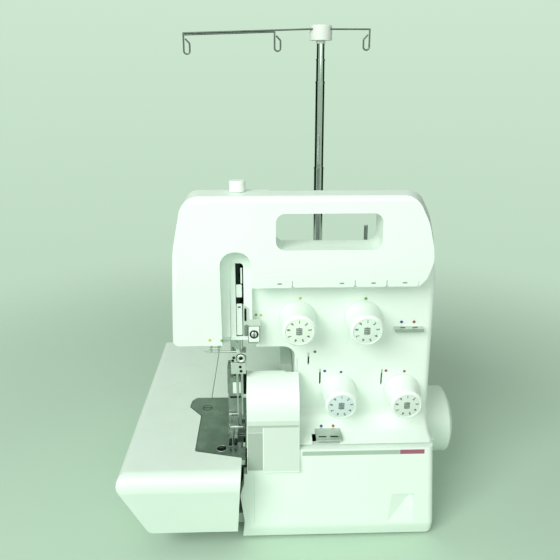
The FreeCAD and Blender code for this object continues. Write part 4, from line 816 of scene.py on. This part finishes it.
# %% [markdown]
# ## The lower part of the guard block
# Under its crease the block sits in the shade of the bulge above it, and the curved piece at its left
# end is darker still. Thin inlays, which stand out by a twentieth of a millimetre, give it a duller finish
# and carry this painted shade; a dark line and a lighter band over it are painted shade in the crease.
# %% Lay the painted shade under the crease
# These colours are painted shade: the lower face under the bulge, its darker left end and the crease.
lower_painted_shade = small_part("block_matt", hue(212, 226, 214), 0.6)
end_painted_shade = small_part("block_end_painted_shade", hue(168, 184, 170), 0.6)
crease_painted_shade = small_part("block_crease", hue(180, 196, 182), 0.6)
crease_edge_painted_shade = small_part("block_crease_soft", hue(216, 230, 218), 0.5)
INLAY = 0.05
BLOCK_LEFT, END_RIGHT, FACE_LEFT, BLOCK_RIGHT = 6.4, 18.0, 18.7, 45.5
BLOCK_FOOT, CREASE_LOW, CREASE_HIGH = 66.2, 101.0, 103.0
door_inlay("block_lower_face", FACE_LEFT, BLOCK_RIGHT, BLOCK_FOOT, CREASE_LOW, INLAY, lower_painted_shade, 12, 16)
door_inlay("block_end_face", BLOCK_LEFT, END_RIGHT, BLOCK_FOOT, 96.9, INLAY, end_painted_shade, 8, 16)
door_inlay("block_end_top", BLOCK_LEFT, END_RIGHT, 97.2, CREASE_LOW, INLAY, crease_painted_shade, 8, 3)
door_inlay("block_crease_line", BLOCK_LEFT, BLOCK_RIGHT, CREASE_LOW, CREASE_HIGH, INLAY, crease_painted_shade, 12, 2)
door_inlay("block_crease_edge", BLOCK_LEFT, BLOCK_RIGHT, CREASE_HIGH, 107.0, INLAY, crease_edge_painted_shade, 12, 3)
print("block inlays from", BLOCK_LEFT, "to", BLOCK_RIGHT)

# %% [markdown]
# ## The studio
# The machine stands on a sheet of pale green paper under one large soft lamp, high on the left, with an
# even sky around it. The paper fades into a backdrop of the same colour, which only the camera and
# mirror-like surfaces see, so the backdrop stays plain without pouring light on the machine.
# %% Pale surroundings
world = bpy.data.worlds.new("studio_air")
bpy.context.scene.world = world
world.use_nodes = True
air = world.node_tree
air.nodes.clear()
BACKDROP_HIGH = hue(206, 232, 209)
BACKDROP_LOW = hue(184, 211, 189)
place = add(air, "ShaderNodeTexCoord").outputs["Generated"]
split = add(air, "ShaderNodeSeparateXYZ")
air.links.new(place, split.inputs[0])
slope = add(air, "ShaderNodeMapRange", From_Min=-0.55, From_Max=0.15)
air.links.new(split.outputs["Z"], slope.inputs["Value"])
paper = mixed(air, slope.outputs[0], BACKDROP_LOW, BACKDROP_HIGH)
seen = add(air, "ShaderNodeBackground", Strength=1.0)
air.links.new(paper, seen.inputs["Color"])
sky = add(air, "ShaderNodeBackground", Color=(0.93, 1.0, 0.94, 1.0), Strength=0.40)
light_path = add(air, "ShaderNodeLightPath")
sees_paper = light_path.outputs["Is Camera Ray"]
for ray in ("Is Glossy Ray", "Is Transmission Ray"):
    larger = add(air, "ShaderNodeMath", operation="MAXIMUM")
    air.links.new(sees_paper, larger.inputs[0])
    air.links.new(light_path.outputs[ray], larger.inputs[1])
    sees_paper = larger.outputs[0]
either = add(air, "ShaderNodeMixShader")
air.links.new(sees_paper, either.inputs[0])
air.links.new(sky.outputs[0], either.inputs[1])
air.links.new(seen.outputs[0], either.inputs[2])
air.links.new(either.outputs[0], add(air, "ShaderNodeOutputWorld").inputs[0])
print("backdrop colours", [round(v, 2) for v in BACKDROP_HIGH[:3]])

# %% [markdown]
# ## The paper floor
# The floor is one disc of paper. Near the machine it takes the shadow; further out it grows
# transparent, so that there is no horizon line.
# %% Floor
FLOOR_RADIUS = 1300
paper_material, tree, surface = start_material("paper", 0.0, 0.2, 0.0)
fibre = place_group(tree, GRAIN, Grain_Scale=FINE_GRAIN, Drift_Scale=3.0)
sheet_colour = mixed(tree, fibre.outputs["Drift"], hue(196, 222, 200), hue(190, 217, 195))
tree.links.new(sheet_colour, surface.inputs["Base Color"])
surface.inputs["Roughness"].default_value = 0.9
bumped(tree, surface, fibre.outputs["Height"], 0.3, 0.00005)
where = add(tree, "ShaderNodeTexCoord").outputs["Object"]
reach = add(tree, "ShaderNodeVectorMath", operation="LENGTH")
tree.links.new(where, reach.inputs[0])
fade = add(tree, "ShaderNodeMapRange", interpolation_type="SMOOTHSTEP", From_Min=0.22, From_Max=0.75)
tree.links.new(reach.outputs["Value"], fade.inputs["Value"])
clear = add(tree, "ShaderNodeBsdfTransparent")
fading = add(tree, "ShaderNodeMixShader")
tree.links.new(fade.outputs[0], fading.inputs[0])
tree.links.new(surface.outputs[0], fading.inputs[1])
tree.links.new(clear.outputs[0], fading.inputs[2])
tree.links.new(fading.outputs[0], tree.nodes["Material Output"].inputs["Surface"])
floor_shape = turned([(0, 0), (300, 0), (600, 0), (900, 0), (FLOOR_RADIUS, 0)], 64)
floor = put_in_scene("paper_floor", mesh_of("paper_floor", floor_shape, paper_material))
print("floor radius in metres", FLOOR_RADIUS * MM)

# %% [markdown]
# ## Lamps
# A large soft lamp high on the left gives the dials their shadows to the right. A weaker wide one in
# front keeps the door readable.
# %% Hang the lamps
LAMP_TARGET = (0, 0, 0.12)
LAMP_TINT = (0.97, 1.0, 0.97)


def soft_lamp(name, place, size, power):
    """A square lamp at a place in metres that looks at the middle of the machine."""
    lamp = bpy.data.lights.new(name, "AREA")
    lamp.shape = "SQUARE"
    lamp.size = size
    lamp.energy = power
    lamp.color = LAMP_TINT
    holder = put_in_scene(name, lamp)
    holder.location = place
    holder.rotation_euler = (Vector(LAMP_TARGET) - Vector(place)).to_track_quat("-Z", "Y").to_euler()


soft_lamp("key_lamp", (-0.80, -1.15, 1.05), 0.85, 19.5)
soft_lamp("front_lamp", (0.15, -1.5, 0.85), 1.0, 6.0)

# %% [markdown]
# ## Dark cards for the chrome
# Chrome has no colour of its own: it looks like chrome only when there is something dark to mirror.
# Two black cards stand upright, left and right of the pole. Only reflections see them, so they draw
# dark edges on it without shading anything or showing themselves.
# %% Stand the cards
card_black, tree, surface = start_material("studio_card", 0.0, 0.0, 0.0)
felt = place_group(tree, GRAIN, Grain_Scale=200.0, Drift_Scale=4.0)
felt_colour = mixed(tree, felt.outputs["Drift"], hue(22, 26, 24), hue(34, 38, 36))
tree.links.new(felt_colour, surface.inputs["Base Color"])
surface.inputs["Roughness"].default_value = 0.95
CARDS_MIDDLE_X, CARD_REACH = 0.03, 0.6
for side in (-1, 1):
    card_shape = bmesh.new()
    bmesh.ops.create_grid(card_shape, x_segments=4, y_segments=4, size=0.5)
    card = put_in_scene("studio_card", mesh_of("studio_card", card_shape, card_black, size=1.0))
    card.location = (CARDS_MIDDLE_X + side * CARD_REACH, 0.35, 0.55)
    card.rotation_euler = (0.0, math.radians(90.0), 0.0)
    card.visible_camera = False
    card.visible_diffuse = False
    card.visible_shadow = False
    card.visible_transmission = False
print("cards", 2)

# %% [markdown]
# ## The camera
# A moderately long lens a little over the machine's height, looking slightly down.
# %% Set the camera
lens = bpy.data.cameras.new("studio_camera")
lens.lens = 38.57
lens.sensor_width = 36.0
lens.shift_x = -0.0036
lens.shift_y = -0.0786
camera = put_in_scene("studio_camera", lens)
camera.location = (-0.0275, -0.5083, 0.3597)
camera.rotation_euler = (math.radians(75.0), 0.0, math.radians(-1.8))
bpy.context.scene.camera = camera
bpy.context.scene.view_settings.view_transform = "Standard"
print("camera height", camera.location.z)
